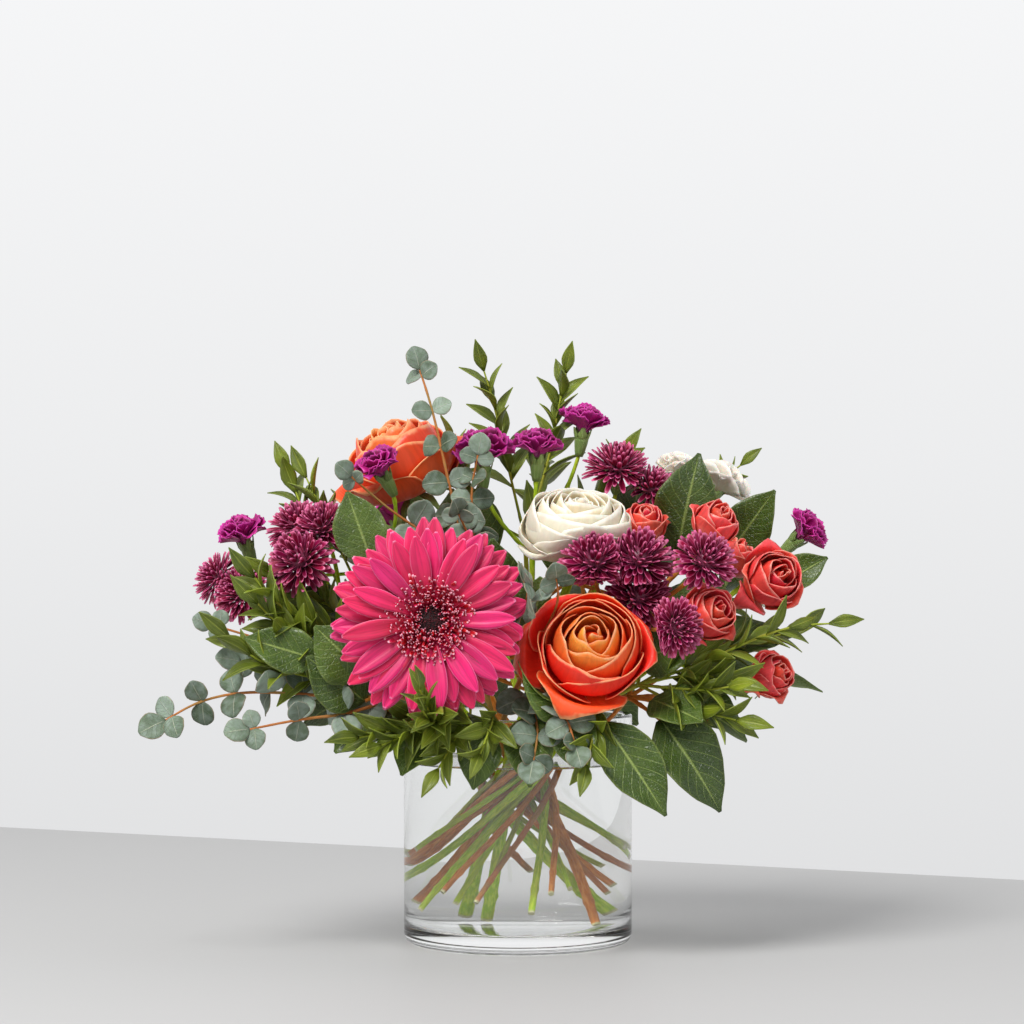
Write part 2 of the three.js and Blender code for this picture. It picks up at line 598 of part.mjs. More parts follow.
// A button chrysanthemum: a ball whose facets are raised to pointed florets.
function mum(room, random) {
  const { radius } = room;
  const ball = new THREE.IcosahedronGeometry(1, 1).getAttribute("position");
  const points = [];
  const faces = [];
  for (let i = 0; i < ball.count; i += 3) {
    const corners = [0, 1, 2].map((k) => new THREE.Vector3().fromBufferAttribute(ball, i + k));
    const middle = corners.reduce((sum, p) => sum.add(p), new THREE.Vector3()).normalize();
    corners.forEach((p) => points.push(p.normalize().multiplyScalar(MUM_CORE * radius)));
    if (middle.z < -0.1) {
      faces.push([points.length - 3, points.length - 2, points.length - 1]);
      continue;
    }
    points.push(middle.multiplyScalar(radius * random(0.94, 1.04)));
    const tip = points.length - 1;
    [[3, 2], [2, 1], [1, 3]].forEach(([a, b]) => faces.push([tip, tip - a, tip - b]));
  }
  const lift = new THREE.Vector3(0, 0, KINDS.mum.seat * radius);
  points.forEach((p) => p.add(lift));
  return solid(points, faces);
}

// A carnation: concentric frilled ridges over a flared underside.
function carnation(room, random) {
  const { radius } = room;
  const sectors = 9;
  const profile = [
    [0.2, 0, 0], [0.62, 0.12, 0], [1, 0.42, 1], [0.74, 0.5, 0], [0.72, 0.86, 1], [0.48, 0.62, 0],
    [0.4, 1.02, 1],
  ];
  const rings = profile.map(([r, z, frill], level) =>
    Array.from({ length: sectors }, (_, k) => {
      const wave = frill * ((k + level) % 2 ? 1 : -1);
      const angle = (TAU * (k + 0.5 * random(-frill, frill))) / sectors;
      const reach = radius * r * (1 + 0.1 * wave);
      return onCircle(reach, angle, radius * (z + 0.09 * wave));
    }),
  );
  return loft(rings, new THREE.Vector3(0, 0, 0), new THREE.Vector3(0, 0, 0.66 * radius));
}

const RAYS = { count: 19, notch: 17, width: 11, thick: 0.9, droop: 3 };
const RAY_WHORLS = [{ level: 2.1, rise: 6.5, start: 0 }, { level: 0.5, rise: 4.5, start: 0.5 }];
const FLORETS = { count: 12, thick: 1.2, hole: 8.8, width: 0, droop: 0 };
const FLORET_WHORLS = [
  { notch: 17, tip: 26, level: 4.2, rise: 1.6, start: 0 },
  { notch: 12.5, tip: 19, level: 5, rise: 3, start: 0.5 },
];
const EYE = { radius: 8.5, sectors: 12, bump: 0.7, foot: 3.4, top: 8.4 };

// A whorl: one thin sheet cut into straps or points, that rises outward from its notches.
function whorl({ count, notch, tip, width, hole, level, rise, droop, thick, start, random }) {
  const outline = [];
  for (let k = 0; k < count; k += 1) {
    const angle = (TAU * (k + start + random(-0.08, 0.08))) / count;
    const reach = tip * random(0.94, 1.01);
    const half = (width / 2) * random(0.95, 1.05);
    const at = (r, side) => new THREE.Vector2(r, side).rotateAround(new THREE.Vector2(), angle);
    if (width) outline.push(at(notch, -0.42 * half), at(0.8 * reach, -half));
    outline.push(at(reach, 0));
    if (width) outline.push(at(0.8 * reach, half), at(notch, 0.42 * half));
    else outline.push(at(notch, 0).rotateAround(new THREE.Vector2(), Math.PI / count));
  }
  const shape = new THREE.Shape(outline);
  if (hole) shape.holes.push(new THREE.Path().absarc(0, 0, hole, 0, TAU, true));
  const sheet = new THREE.ExtrudeGeometry(shape, { depth: thick, bevelEnabled: false, curveSegments: 8 });
  const points = sheet.getAttribute("position");
  for (let i = 0; i < points.count; i += 1) {
    const out = Math.max(0, Math.hypot(points.getX(i), points.getY(i)) - notch) / (tip - notch);
    points.setZ(i, points.getZ(i) + level + rise * out - droop * out * out);
  }
  return solidOf(sheet);
}

function gerberaRays(room, random) {
  const disc = new THREE.CylinderGeometry(RAYS.notch - 2, RAYS.notch - 4, 2.6, 12);
  disc.rotateX(Math.PI / 2).translate(0, 0, 1.7);
  const whorls = RAY_WHORLS.map((row) => whorl({ ...RAYS, ...row, tip: room.radius, random }));
  return join([solidOf(disc), ...whorls]);
}

// The short florets round the eye: two pointed whorls on one another.
function gerberaRing(random) {
  return join(FLORET_WHORLS.map((row) => whorl({ ...FLORETS, ...row, random })));
}

// The eye: a low dome of closed florets.
function gerberaEye(random) {
  const { radius, sectors, bump, foot, top } = EYE;
  const profile = [[0.92, 3.5], [1, 5.4], [0.8, 8], [0.5, 9]];
  const rings = profile.map(([r, z], level) =>
    Array.from({ length: sectors }, (_, k) => {
      const lift = level && (k + level) % 2 ? bump : 0;
      const angle = (TAU * (k + 0.5 * (level % 2) + random(-0.1, 0.1))) / sectors;
      return onCircle(radius * r - GAP, angle, z + lift);
    }),
  );
  return loft(rings, new THREE.Vector3(0, 0, foot), new THREE.Vector3(0, 0, top));
}

const FLOWER = {
  rose: (room, random) => rose(room, random, ROSE_LAYERS, ROSE_CORE, 0.98),
  spray_rose: (room, random) => rose(room, random, SPRAY_LAYERS, SPRAY_CORE, 1.35),
  mum,
  carnation,
};

// ---------------------------------------------------------------- routes of the stems

// Knots and the links between them: a link belongs to a plant and to one of its chains.
const knots = [];
const links = [];

function addKnot(point, fixed = false) {
  knots.push({ point: point.clone(), fixed, home: point.clone() });
  return knots.length - 1;
}

function addChain(plant, ids, radius, bloom) {
  for (let i = 0; i + 1 < ids.length; i += 1) {
    links.push({ a: ids[i], b: ids[i + 1], radius, plant, bloom });
  }
}

// The knots of a branch from the fork to its bloom, its leaf or along its path.
function branchPoints(branch) {
  if (branch.bloom) {
    const room = ROOMS[branch.bloom];
    const [length] = room.calyx;
    const back = (d) => room.seat.clone().addScaledVector(room.face, -d);
    return { points: [back(length + 12), back(length + GAP), back(GAP)], fixed: [false, true, true] };
  }
  if (branch.leaf) return { points: [vec(branch.leaf.base)], fixed: [true] };
  return { points: branch.path.map(vec), fixed: branch.path.map(() => false) };
}

// Lays out one plant: cut end, waist, rim, fork and branches.
function layPlant(name, plant) {
  const ends = plant.branches.map((b) => branchPoints(b).points[0]);
  const target = plant.fork
    ? vec(plant.fork)
    : ends.reduce((sum, p) => sum.add(p), new THREE.Vector3()).divideScalar(ends.length);
  const azimuth = Math.atan2(target.y, target.x);
  const [reach, low] = plant.foot;
  const waist = onCircle(plant.ring, azimuth + TURN.waist, STEM_WAIST);
  const foot = onCircle(reach, azimuth + TURN.foot, low);
  const along = (STEM_RIM - STEM_WAIST) / Math.max(target.z - STEM_WAIST, 1);
  const straight = lerp(plant.ring, Math.hypot(target.x, target.y), Math.min(along, 1));
  const rim = onCircle(Math.min(RIM_REACH, straight + RIM_SPREAD), azimuth + TURN.rim, STEM_RIM);
  const ids = [foot, waist, rim].map((p) => addKnot(p));
  if (plant.fork) ids.push(addKnot(target));
  addChain(name, ids, plant.radius);
  const start = ids[ids.length - 1];
  const branches = plant.branches.map((branch) => {
    const { points, fixed } = branchPoints(branch);
    const more = points.map((p, i) => addKnot(p, fixed[i]));
    addChain(name, [start, ...more], branchRadius(plant), branch.bloom);
    return { branch, ids: [start, ...more] };
  });
  return { name, plant, trunk: ids, branches };
}

const branchRadius = (plant) => (plant.fork ? 0.68 * plant.radius : plant.radius);

// Closest points of two links, as shares along each.
function nearest(p, q) {
  const [a, b] = [knots[p.a].point, knots[p.b].point];
  const [c, d] = [knots[q.a].point, knots[q.b].point];
  const u = b.clone().sub(a);
  const v = d.clone().sub(c);
  const w = a.clone().sub(c);
  const [uu, uv, vv, uw, vw] = [u.dot(u), u.dot(v), v.dot(v), u.dot(w), v.dot(w)];
  const clamp = (x) => Math.min(Math.max(x, 0), 1);
  const det = uu * vv - uv * uv;
  let s = det > 1e-9 ? clamp((uv * vw - vv * uw) / det) : 0.5;
  const t = clamp((uv * s + vw) / vv);
  s = clamp((uv * t - uw) / uu);
  return { s, t, from: a.clone().addScaledVector(u, s), to: c.clone().addScaledVector(v, t) };
}

function shift(link, share, move) {
  [[link.a, 1 - share], [link.b, share]].forEach(([id, weight]) => {
    if (!knots[id].fixed) knots[id].point.addScaledVector(move, weight);
  });
}

// How much of a lack each push makes good, how far each round evens out a bend, and how many.
const RELAX = { stem: 0.6, bloom: 0.7, even: 0.02, home: 0.02, rounds: 260 };

function partLinks() {
  for (let i = 0; i < links.length; i += 1) {
    for (let j = i + 1; j < links.length; j += 1) {
      if (links[i].plant === links[j].plant) continue;
      const { s, t, from, to } = nearest(links[i], links[j]);
      const apart = from.clone().sub(to);
      const lack = links[i].radius + links[j].radius + CLEAR.stem - apart.length();
      if (lack <= 0) continue;
      if (apart.lengthSq() < 1e-6) apart.set(1, 0, 0);
      apart.normalize();
      shift(links[i], s, apart.clone().multiplyScalar(RELAX.stem * lack));
      shift(links[j], t, apart.clone().multiplyScalar(-RELAX.stem * lack));
    }
  }
}

const SAMPLES = [0.15, 0.5, 0.85, 1];

// Keeps links out of every bloom but the one that they carry.
function clearBlooms() {
  links.forEach((link) => {
    SAMPLES.forEach((share) => {
      const point = knots[link.a].point.clone().lerp(knots[link.b].point, share);
      const before = point.clone();
      Object.entries(ROOMS).forEach(([name, room]) => {
        if (name === link.bloom) return;
        pushOut(point, room, link.radius + CLEAR.bloom);
      });
      const move = point.sub(before);
      if (move.lengthSq()) shift(link, share, move.multiplyScalar(RELAX.bloom));
    });
  });
}

// Keeps a bar clear of the vase's wall, rim and floor.
function clearVase() {
  const inner = VASE.radius - VASE.wall;
  links.forEach((link) => {
    SAMPLES.forEach((share) => {
      const point = knots[link.a].point.clone().lerp(knots[link.b].point, share);
      const radial = Math.hypot(point.x, point.y);
      const room = link.radius + CLEAR.wall;
      const dr = radial - THREE.MathUtils.clamp(radial, inner, VASE.radius);
      const dz = Math.max(point.z - VASE.height, 0);
      const distance = Math.hypot(dr, dz);
      const move = new THREE.Vector3();
      const away = new THREE.Vector3(point.x, point.y, 0).normalize();
      if (distance < 1e-6) move.copy(away).multiplyScalar(inner - room - radial);
      else if (distance < room) {
        const lack = room - distance;
        move.copy(away).multiplyScalar((lack * dr) / distance);
        move.z = (lack * dz) / distance;
      }
      const lowest = VASE.floor + CLEAR.floor + link.radius * 0.6;
      if (radial < inner && point.z < lowest) move.z += lowest - point.z;
      if (move.lengthSq()) shift(link, share, move);
    });
  });
}

// Evens out the bends, knot by knot.
function smooth(plants) {
  plants.forEach(({ trunk, branches }) => {
    [trunk, ...branches.map((b) => b.ids)].forEach((ids) => {
      for (let i = 1; i + 1 < ids.length; i += 1) {
        const knot = knots[ids[i]];
        if (knot.fixed) continue;
        const middle = knots[ids[i - 1]].point.clone().lerp(knots[ids[i + 1]].point, 0.5);
        knot.point.lerp(middle, RELAX.even);
        knot.point.lerp(knot.home, RELAX.home);
      }
    });
  });
}

function layStems() {
  const plants = Object.entries(PLANTS).map(([name, plant]) => layPlant(name, plant));
  for (let round = 0; round < RELAX.rounds; round += 1) {
    if (round < RELAX.rounds / 2) smooth(plants);
    partLinks();
    clearBlooms();
    clearVase();
  }
  return plants;
}

// ---------------------------------------------------------------- leaves

// Keeps the middle surface of a leaf off the blooms and the vase.
function clearPoint(point) {
  Object.values(ROOMS).forEach((room) => pushOut(point, room, CLEAR.leafBloom));
  const radial = Math.hypot(point.x, point.y);
  const reach = VASE.radius + CLEAR.leafWall;
  if (point.z < VASE.height + CLEAR.leafWall && radial < reach) {
    const out = reach / Math.max(radial, 1);
    point.x *= out;
    point.y *= out;
  }
  return point;
}

// A leaf from its base to its tip: half widths along it, a fold up at both sides of the rib,
// and a bow that lifts or drops the tip.
function blade({ base, direction, up, length, width, shape, thick, fold, bow }) {
  const along = direction.clone().normalize();
  const right = along.clone().cross(up).normalize();
  const top = right.clone().cross(along).normalize();
  const at = (t, side, lift) =>
    clearPoint(
      base
        .clone()
        .addScaledVector(along, length * t)
        .addScaledVector(right, side)
        .addScaledVector(top, lift + bow * length * 4 * t * (1 - t)),
    );
  const rings = shape.map(([t, w]) => {
    const half = (w * width) / 2;
    const left = at(t, -half, fold * half);
    const middle = at(t, 0, 0);
    const rightEdge = at(t, half, fold * half);
    const normal = rightEdge.clone().sub(left).cross(along).normalize();
    return [
      middle.clone().addScaledVector(normal, thick / 2), rightEdge,
      middle.clone().addScaledVector(normal, -thick / 2), left,
    ];
  });
  return loft(rings, base.clone(), at(1, 0, 0));
}

const LEAF = {
  narrow: { shape: [[0.45, 1]], ratio: 0.36, thick: 1.1, fold: 0.15, bow: 0.05 },
  broad: { shape: [[0.14, 0.5], [0.36, 1], [0.62, 0.92], [0.85, 0.5]], thick: 1.3, fold: 0.14, bow: 0.07 },
};

const ROUND_SIDES = 5;

// A round eucalyptus leaf: a thin lens on the twig's side.
function roundLeaf(base, direction, up, size) {
  const along = direction.clone().normalize();
  const right = along.clone().cross(up).normalize();
  const top = right.clone().cross(along).normalize();
  const centre = base.clone().addScaledVector(along, 0.53 * size + 0.2);
  const rim = Array.from({ length: ROUND_SIDES }, (_, k) => {
    const angle = Math.PI + (TAU * k) / ROUND_SIDES;
    return clearPoint(
      centre
        .clone()
        .addScaledVector(along, 0.53 * size * Math.cos(angle))
        .addScaledVector(right, 0.5 * size * Math.sin(angle))
        .addScaledVector(top, 0.06 * size * Math.cos(2 * angle)),
    );
  });
  const middle = rim.reduce((sum, p) => sum.add(p), new THREE.Vector3()).divideScalar(rim.length);
  const normal = rim[1].clone().sub(rim[4]).cross(rim[0].clone().sub(middle)).normalize();
  const over = middle.clone().addScaledVector(normal, 0.75);
  const below = middle.clone().addScaledVector(normal, -0.75);
  return loft([rim.reverse()], below, over);
}

// Leaves in turn along a branch, from a share of its length to its tip.
function leavesAlong(path, { kind, size, count, from }, front, random) {
  const curve = new THREE.CurvePath();
  for (let i = 0; i + 1 < path.length; i += 1) curve.add(new THREE.LineCurve3(path[i], path[i + 1]));
  const ahead = unit(front);
  const made = [];
  for (let i = 0; i < count; i += 1) {
    const share = lerp(from, 0.97, i / (count - 1));
    const base = curve.getPoint(share);
    const along = curve.getTangent(share);
    const side = along.clone().cross(ahead).normalize();
    const face = side.clone().cross(along).normalize();
    const small = size * lerp(1, 0.62, i / (count - 1)) * random(0.9, 1.08);
    const hands = kind === "round" ? [1, -1] : [i % 2 ? 1 : -1];
    hands.forEach((hand) => {
      const swing = kind === "round" && i % 2 ? 0.75 : 0;
      const direction = along
        .clone()
        .multiplyScalar(kind === "round" ? 0.15 : 0.75)
        .addScaledVector(side, hand * (1 - 0.5 * swing) * random(0.85, 1.1))
        .addScaledVector(face, hand * swing * 0.9 + 0.16);
      const up = face.clone().addScaledVector(side, -hand * 0.3 * random()).addScaledVector(along, 0.3);
      made.push(
        kind === "round"
          ? roundLeaf(base, direction, up, small)
          : blade({ base, direction, up, length: small, width: small * LEAF.narrow.ratio, ...LEAF.narrow }),
      );
    });
  }
  const { narrow } = LEAF;
  if (kind === "narrow") {
    made.push(
      blade({
        base: curve.getPoint(0.97), direction: curve.getTangent(1), up: ahead,
        length: size * 0.7, width: size * 0.7 * narrow.ratio, ...narrow,
      }),
    );
  }
  return made;
}

// ---------------------------------------------------------------- solids of stems and foliage

const SUNK = 3; // how far a branch or a leaf starts inside what carries it

function stemSolid({ plant, trunk, branches }, random, grow = 0) {
  const sides = plant.radius > 2.5 ? 6 : plant.radius > 1.8 ? 5 : 4;
  const route = trunk.map((id) => knots[id].point.clone());
  const cut = route[0].clone().sub(route[1]).normalize().multiplyScalar(grow);
  route[0].add(cut);
  const parts = [];
  const joined = branches.length === 1 && !plant.fork;
  if (!joined) parts.push(bar(route, route.map(() => plant.radius + grow), sides));
  branches.forEach(({ branch, ids }) => {
    const path = ids.map((id) => knots[id].point.clone());
    path[0].lerp(route[route.length - 2], SUNK / path[0].distanceTo(route[route.length - 2]));
    const thin = branchRadius(plant) + grow;
    const whole = joined ? [...route.slice(0, -1), ...path] : path;
    const radii = whole.map(() => thin);
    if (branch.path) radii[radii.length - 1] *= 0.6;
    if (branch.bloom) {
      const [, wide] = ROOMS[branch.bloom].calyx;
      const neck = whole[whole.length - 2];
      const seat = whole[whole.length - 1];
      whole.splice(whole.length - 1, 0, neck.clone().lerp(seat, 0.4));
      radii.splice(radii.length - 1, 0, wide * 0.86 + grow);
      radii[radii.length - 1] = wide + grow;
    }
    parts.push(bar(whole, radii, joined ? sides : 4));
    if (grow) return;
    if (branch.leaves) parts.push(...leavesAlong(path, branch.leaves, branch.front, random));
    if (branch.leaf) {
      const { tip, width, up } = branch.leaf;
      const direction = vec(tip).sub(vec(branch.leaf.base));
      const base = vec(branch.leaf.base).addScaledVector(direction, -SUNK / direction.length());
      parts.push(
        blade({ base, direction, up: vec(up), length: direction.length(), width, ...LEAF.broad }),
      );
    }
    if (branch.bloom && ROOMS[branch.bloom].kind === "rose") parts.push(...sepals(ROOMS[branch.bloom]));
  });
  return join(parts);
}

// Five pointed sepals bent back below a rose.
function sepals({ seat, face, calyx, radius }) {
  const [length, wide] = calyx;
  const base = pose(seat.clone().addScaledVector(face, -GAP), face);
  return Array.from({ length: 5 }, (_, k) => {
    const angle = (TAU * k) / 5;
    const local = (r, z) => onCircle(r, angle, z).applyMatrix4(base);
    const root = local(wide * 0.5, -length * 0.35);
    const tip = local(wide * 0.9 + 0.2 * radius, -length * 0.75 - 0.08 * radius);
    const direction = tip.clone().sub(root);
    return loftBlade(root, direction, face, direction.length(), 0.16 * radius);
  });
}

function loftBlade(base, direction, up, length, width) {
  const along = direction.clone().normalize();
  const right = along.clone().cross(up).normalize();
  const top = right.clone().cross(along).normalize();
  const at = (t, side, lift) =>
    base.clone().addScaledVector(along, length * t).addScaledVector(right, side).addScaledVector(top, lift);
  const ring = [at(0.45, 0, 0.5), at(0.45, width / 2, 0), at(0.45, 0, -0.5), at(0.45, -width / 2, 0)];
  return loft([ring], base.clone(), at(1, 0, 0));
}

// ---------------------------------------------------------------- vase and water

function vaseSolid() {
  const { radius, height, wall, floor, heel, segments } = VASE;
  const inner = radius - wall;
  const lip = wall / 2;
  const arc = (cx, cz, r, from, to, steps) =>
    Array.from({ length: steps + 1 }, (_, i) => {
      const angle = lerp(from, to, i / steps);
      return new THREE.Vector2(cx + r * Math.cos(angle), cz + r * Math.sin(angle));
    });
  const profile = [
    new THREE.Vector2(0, 0),
    ...arc(radius - heel, heel, heel, -Math.PI / 2, 0, 3),
    ...arc(radius - lip, height - lip, lip, 0, Math.PI, 2),
    ...arc(inner - 2, floor + 2, 2, 0, -Math.PI / 2, 1),
    new THREE.Vector2(0, floor),
  ];
  const body = new THREE.LatheGeometry(profile, segments);
  body.rotateX(Math.PI / 2);
  return solidOf(body);
}

function waterSolid(stems) {
  const radius = VASE.radius - VASE.wall - GAP;
  const bottom = VASE.floor + GAP;
  const { level, inset } = WATER;
  const profile = [
    [0, bottom], [radius - inset, bottom], [radius, bottom + inset], [radius, level], [0, level],
  ].map(([r, z]) => new THREE.Vector2(r, z));
  const body = new THREE.LatheGeometry(profile, VASE.segments);
  body.rotateX(Math.PI / 2);
  return stems.reduce((water, stem) => water.subtract(stem), solidOf(body));
}

// ---------------------------------------------------------------- putting it together

const nodes = new Map();

function addBlooms() {
  Object.entries(HEADS).forEach(([name, { blooms, colour }], index) => {
    const random = seeded(SEED + 17 * index);
    const heads = blooms.map((key) => {
      const room = ROOMS[key];
      const made = FLOWER[room.kind](room, random).transform(pose(room.seat, room.face).toArray());
      return borders(key, blooms).reduce(cutBeyond, made);
    });
    nodes.set(name, { shape: largest(join(heads)), colour });
  });
  const room = ROOMS.gerbera;
  const place = pose(room.seat, room.face).toArray();
  const random = seeded(SEED);
  const put = (name, made, colour) => {
    const shape = borders("gerbera", []).reduce(cutBeyond, made.transform(place));
    nodes.set(name, { shape: largest(shape), colour });
  };
  put("gerbera_eye", gerberaEye(random), "gerbera_eye");
  put("gerbera_ring", gerberaRing(random), "gerbera_red");
  put("gerbera_rays", gerberaRays(room, random), "gerbera_pink");
}

const NEAR = 0.2; // nodes nearer than this are cut apart
const SLIVER = 0.06; // edges shorter than this are merged away

// Cuts a node clear of one that goes before it: copies moved a gap aside leave the gap.
function keepClear(shape, earlier) {
  const steps = [[1, 0, 0], [-1, 0, 0], [0, 1, 0], [0, -1, 0], [0, 0, 1], [0, 0, -1]];
  return steps.reduce(
    (left, step) => left.subtract(earlier.translate(step.map((s) => s * GAP))),
    shape.subtract(earlier),
  );
}

function clearNodes(order) {
  order.forEach((name, index) => {
    const node = nodes.get(name);
    order.slice(0, index).forEach((earlier) => {
      const rival = nodes.get(earlier).shape;
      if (node.shape.minGap(rival, 1) < NEAR) node.shape = largest(keepClear(node.shape, rival));
    });
  });
}

const plants = layStems();
addBlooms();
plants.forEach((laid, index) => {
  const random = seeded(SEED + 101 * index);
  nodes.set(laid.name, { shape: largest(stemSolid(laid, random)), colour: laid.plant.colour });
});
clearNodes([...nodes.keys()]);
nodes.set("vase", { shape: vaseSolid(), colour: "glass" });
const below = plants.map((laid) => stemSolid(laid, seeded(1), GAP));
nodes.set("water", { shape: largest(waterSolid(below)), colour: "water" });

const bouquet = new THREE.Group();
nodes.forEach(({ shape, colour }, name) => {
  const mesh = shape.simplify(SLIVER).getMesh();
  const geometry = new THREE.BufferGeometry();
  geometry.setAttribute("position", new THREE.BufferAttribute(mesh.vertProperties, 3));
  geometry.setIndex(new THREE.BufferAttribute(mesh.triVerts, 1));
  const [color, roughness] = COLOURS[colour];
  const material = new THREE.MeshStandardMaterial({ color, roughness, metalness: 0 });
  const part = new THREE.Mesh(geometry, material);
  part.name = name;
  bouquet.add(part);
});

export default bouquet;
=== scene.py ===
"""A mixed gerbera bouquet in a clear glass cylinder vase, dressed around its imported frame.

Places and sizes in the tables are millimetres, in the frame's own axes: +Z up, -Y to the front,
the origin under the middle of the vase. MM turns them into metres.
"""

from __future__ import annotations

import json
import logging
import math
import random
from contextlib import contextmanager
from dataclasses import dataclass
from enum import Enum
from functools import cache, cached_property, partial, partialmethod
from typing import Callable, Iterable, Iterator, NamedTuple, Sequence

import bpy
import numpy as np
from mathutils import Matrix, Vector

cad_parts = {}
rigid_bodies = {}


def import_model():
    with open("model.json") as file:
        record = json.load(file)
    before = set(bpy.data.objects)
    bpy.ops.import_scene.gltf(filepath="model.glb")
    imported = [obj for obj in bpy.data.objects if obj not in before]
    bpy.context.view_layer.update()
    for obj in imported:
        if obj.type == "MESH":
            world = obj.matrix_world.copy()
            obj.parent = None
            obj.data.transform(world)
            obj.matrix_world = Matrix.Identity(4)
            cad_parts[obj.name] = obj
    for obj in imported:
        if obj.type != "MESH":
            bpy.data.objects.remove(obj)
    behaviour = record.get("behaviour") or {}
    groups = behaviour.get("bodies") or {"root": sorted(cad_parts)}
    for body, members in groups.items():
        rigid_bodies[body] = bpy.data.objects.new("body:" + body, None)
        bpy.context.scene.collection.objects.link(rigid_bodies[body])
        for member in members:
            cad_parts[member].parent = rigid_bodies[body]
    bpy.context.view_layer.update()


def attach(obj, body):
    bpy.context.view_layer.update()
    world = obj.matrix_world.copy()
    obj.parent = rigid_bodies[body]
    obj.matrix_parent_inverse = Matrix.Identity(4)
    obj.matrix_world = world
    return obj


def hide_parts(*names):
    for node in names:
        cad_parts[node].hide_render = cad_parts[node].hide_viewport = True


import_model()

log = logging.getLogger("bouquet")

MM = 0.001
GAP = 0.3  # between pieces that touch, in millimetres
GOLDEN = math.pi * (3 - math.sqrt(5))
Pair = tuple[float, float]
Point = tuple[float, float, float]
Colour = tuple[float, float, float, float]
Profile = Sequence[Pair]
Mesh = bpy.types.Mesh
Socket = bpy.types.NodeSocket
Material = bpy.types.Material
Thing = bpy.types.Object


def mix(a: float, b: float, share: float) -> float:
    """The number at a share of the way from a to b."""
    return a + (b - a) * share


# ---- the bouquet's plan


class Habit(NamedTuple):
    """How a kind of bloom sits on its stem.

    seat and depth are shares of the bloom's radius: from the seat to the centre, and half of
    its depth. The calyx below it is in millimetres.
    """

    seat: float
    depth: float
    calyx_length: float
    calyx_radius: float


class Kind(Enum):
    """The kinds of bloom."""

    GERBERA = Habit(0.09, 0.15, 7, 9)
    ROSE = Habit(0.62, 0.62, 8, 6.5)
    SPRAY_ROSE = Habit(0.75, 0.85, 6, 3.6)
    MUM = Habit(0.84, 0.95, 3.5, 3.2)
    CARNATION = Habit(0.5, 0.55, 13, 4.2)


@dataclass(frozen=True)
class Bloom:
    """Where one bloom is and the way it faces, with its radius."""

    kind: Kind
    radius: float
    at: Vector
    face: Vector

    @property
    def habit(self) -> Habit:
        """How its kind sits on its stem."""
        return self.kind.value

    @cached_property
    def axis(self) -> Vector:
        """The unit vector along which the bloom faces."""
        return self.face.normalized()

    @property
    def seat(self) -> Vector:
        """The point where the bloom sits on its calyx."""
        return self.at - self.axis * (self.habit.seat * self.radius)

    @property
    def half(self) -> float:
        """Half the depth of the room that the bloom takes."""
        return self.habit.depth * self.radius

    def pose(self) -> Matrix:
        """The matrix that carries a bloom from its own frame, seat at the origin, to its place."""
        side = Vector((0, 0, 1)).cross(self.axis)
        side = side.normalized() if side.length > 1e-3 else Vector((1, 0, 0))
        basis = Matrix((side, self.axis.cross(side), self.axis)).transposed().to_4x4()
        return Matrix.Translation(self.seat * MM) @ basis

    def reach(self, direction: Vector) -> float:
        """How far the bloom's room reaches along a unit direction from its centre."""
        axial = self.axis.dot(direction)
        return math.hypot(self.half * axial, self.radius * math.sqrt(max(0.0, 1 - axial * axial)))


class Habitus(Enum):
    """What a plant's leaves are like."""

    NONE = "no leaves"
    ROUND = "round eucalyptus leaves in pairs"
    NARROW = "narrow pointed leaves in turn"
    BROAD = "single broad leathery leaves"


@dataclass(frozen=True)
class Branch:
    """One branch of a plant, past its fork.

    It follows a path and ends in a bloom, in a broad leaf that runs from its last point to tip,
    or carries a row of leaves of one size from a share of its length on. front is the way its
    leaves look.
    """

    path: Sequence[Vector]
    bloom: str = ""
    size: float = 0
    count: float = 0
    start: float = 0
    front: Vector | None = None
    tip: Vector | None = None
    width: float = 0

    @property
    def points(self) -> list[Vector]:
        """The path, up to the calyx of the bloom where there is one."""
        head = BLOOMS.get(self.bloom)
        return list(self.path) + ([head.seat - head.axis * back for back in (
            head.habit.calyx_length + GAP, GAP)] if head else [])


@dataclass(frozen=True)
class Plant:
    """One cut stem: its radius, what its leaves are like, its trunk and its branches.

    The trunk runs from the cut end by the waist and the rim, and on to the fork if it has one.
    """

    habitus: Habitus
    radius: float
    trunk: list[Vector]
    branches: list[Branch]

    @property
    def forked(self) -> bool:
        """Whether its branches leave from a fork."""
        return len(self.trunk) > 3


def rows_of(table: str) -> Iterable[tuple[list[str], list[Vector]]]:
    """The rows of a table: each the words before its colon, and the points after it."""
    for line in table.strip().splitlines():
        words, points = line.split(":")
        yield words.split(), [Vector([float(part) for part in point.split()])
                              for point in points.split(",")]


def plants_of(table: str) -> dict[str, Plant]:
    """The plants of a table, each in a row with its trunk before the rows of its branches."""
    plants: dict[str, Plant] = {}
    for (kind, first, *rest), points in rows_of(table):
        if kind in Habitus.__members__:
            plants[first] = Plant(Habitus[kind], float(rest[0]), points, [])
            continue
        if kind == "bloom":
            branch = Branch(points, bloom=first)
        elif kind == "twig":
            count, start = map(float, rest)
            branch = Branch(points[1:], "", float(first), count, start, points[0])
        else:
            branch = Branch(points[1:2], front=points[0], tip=points[2], width=float(first))
        list(plants.values())[-1].branches.append(branch)
    return plants


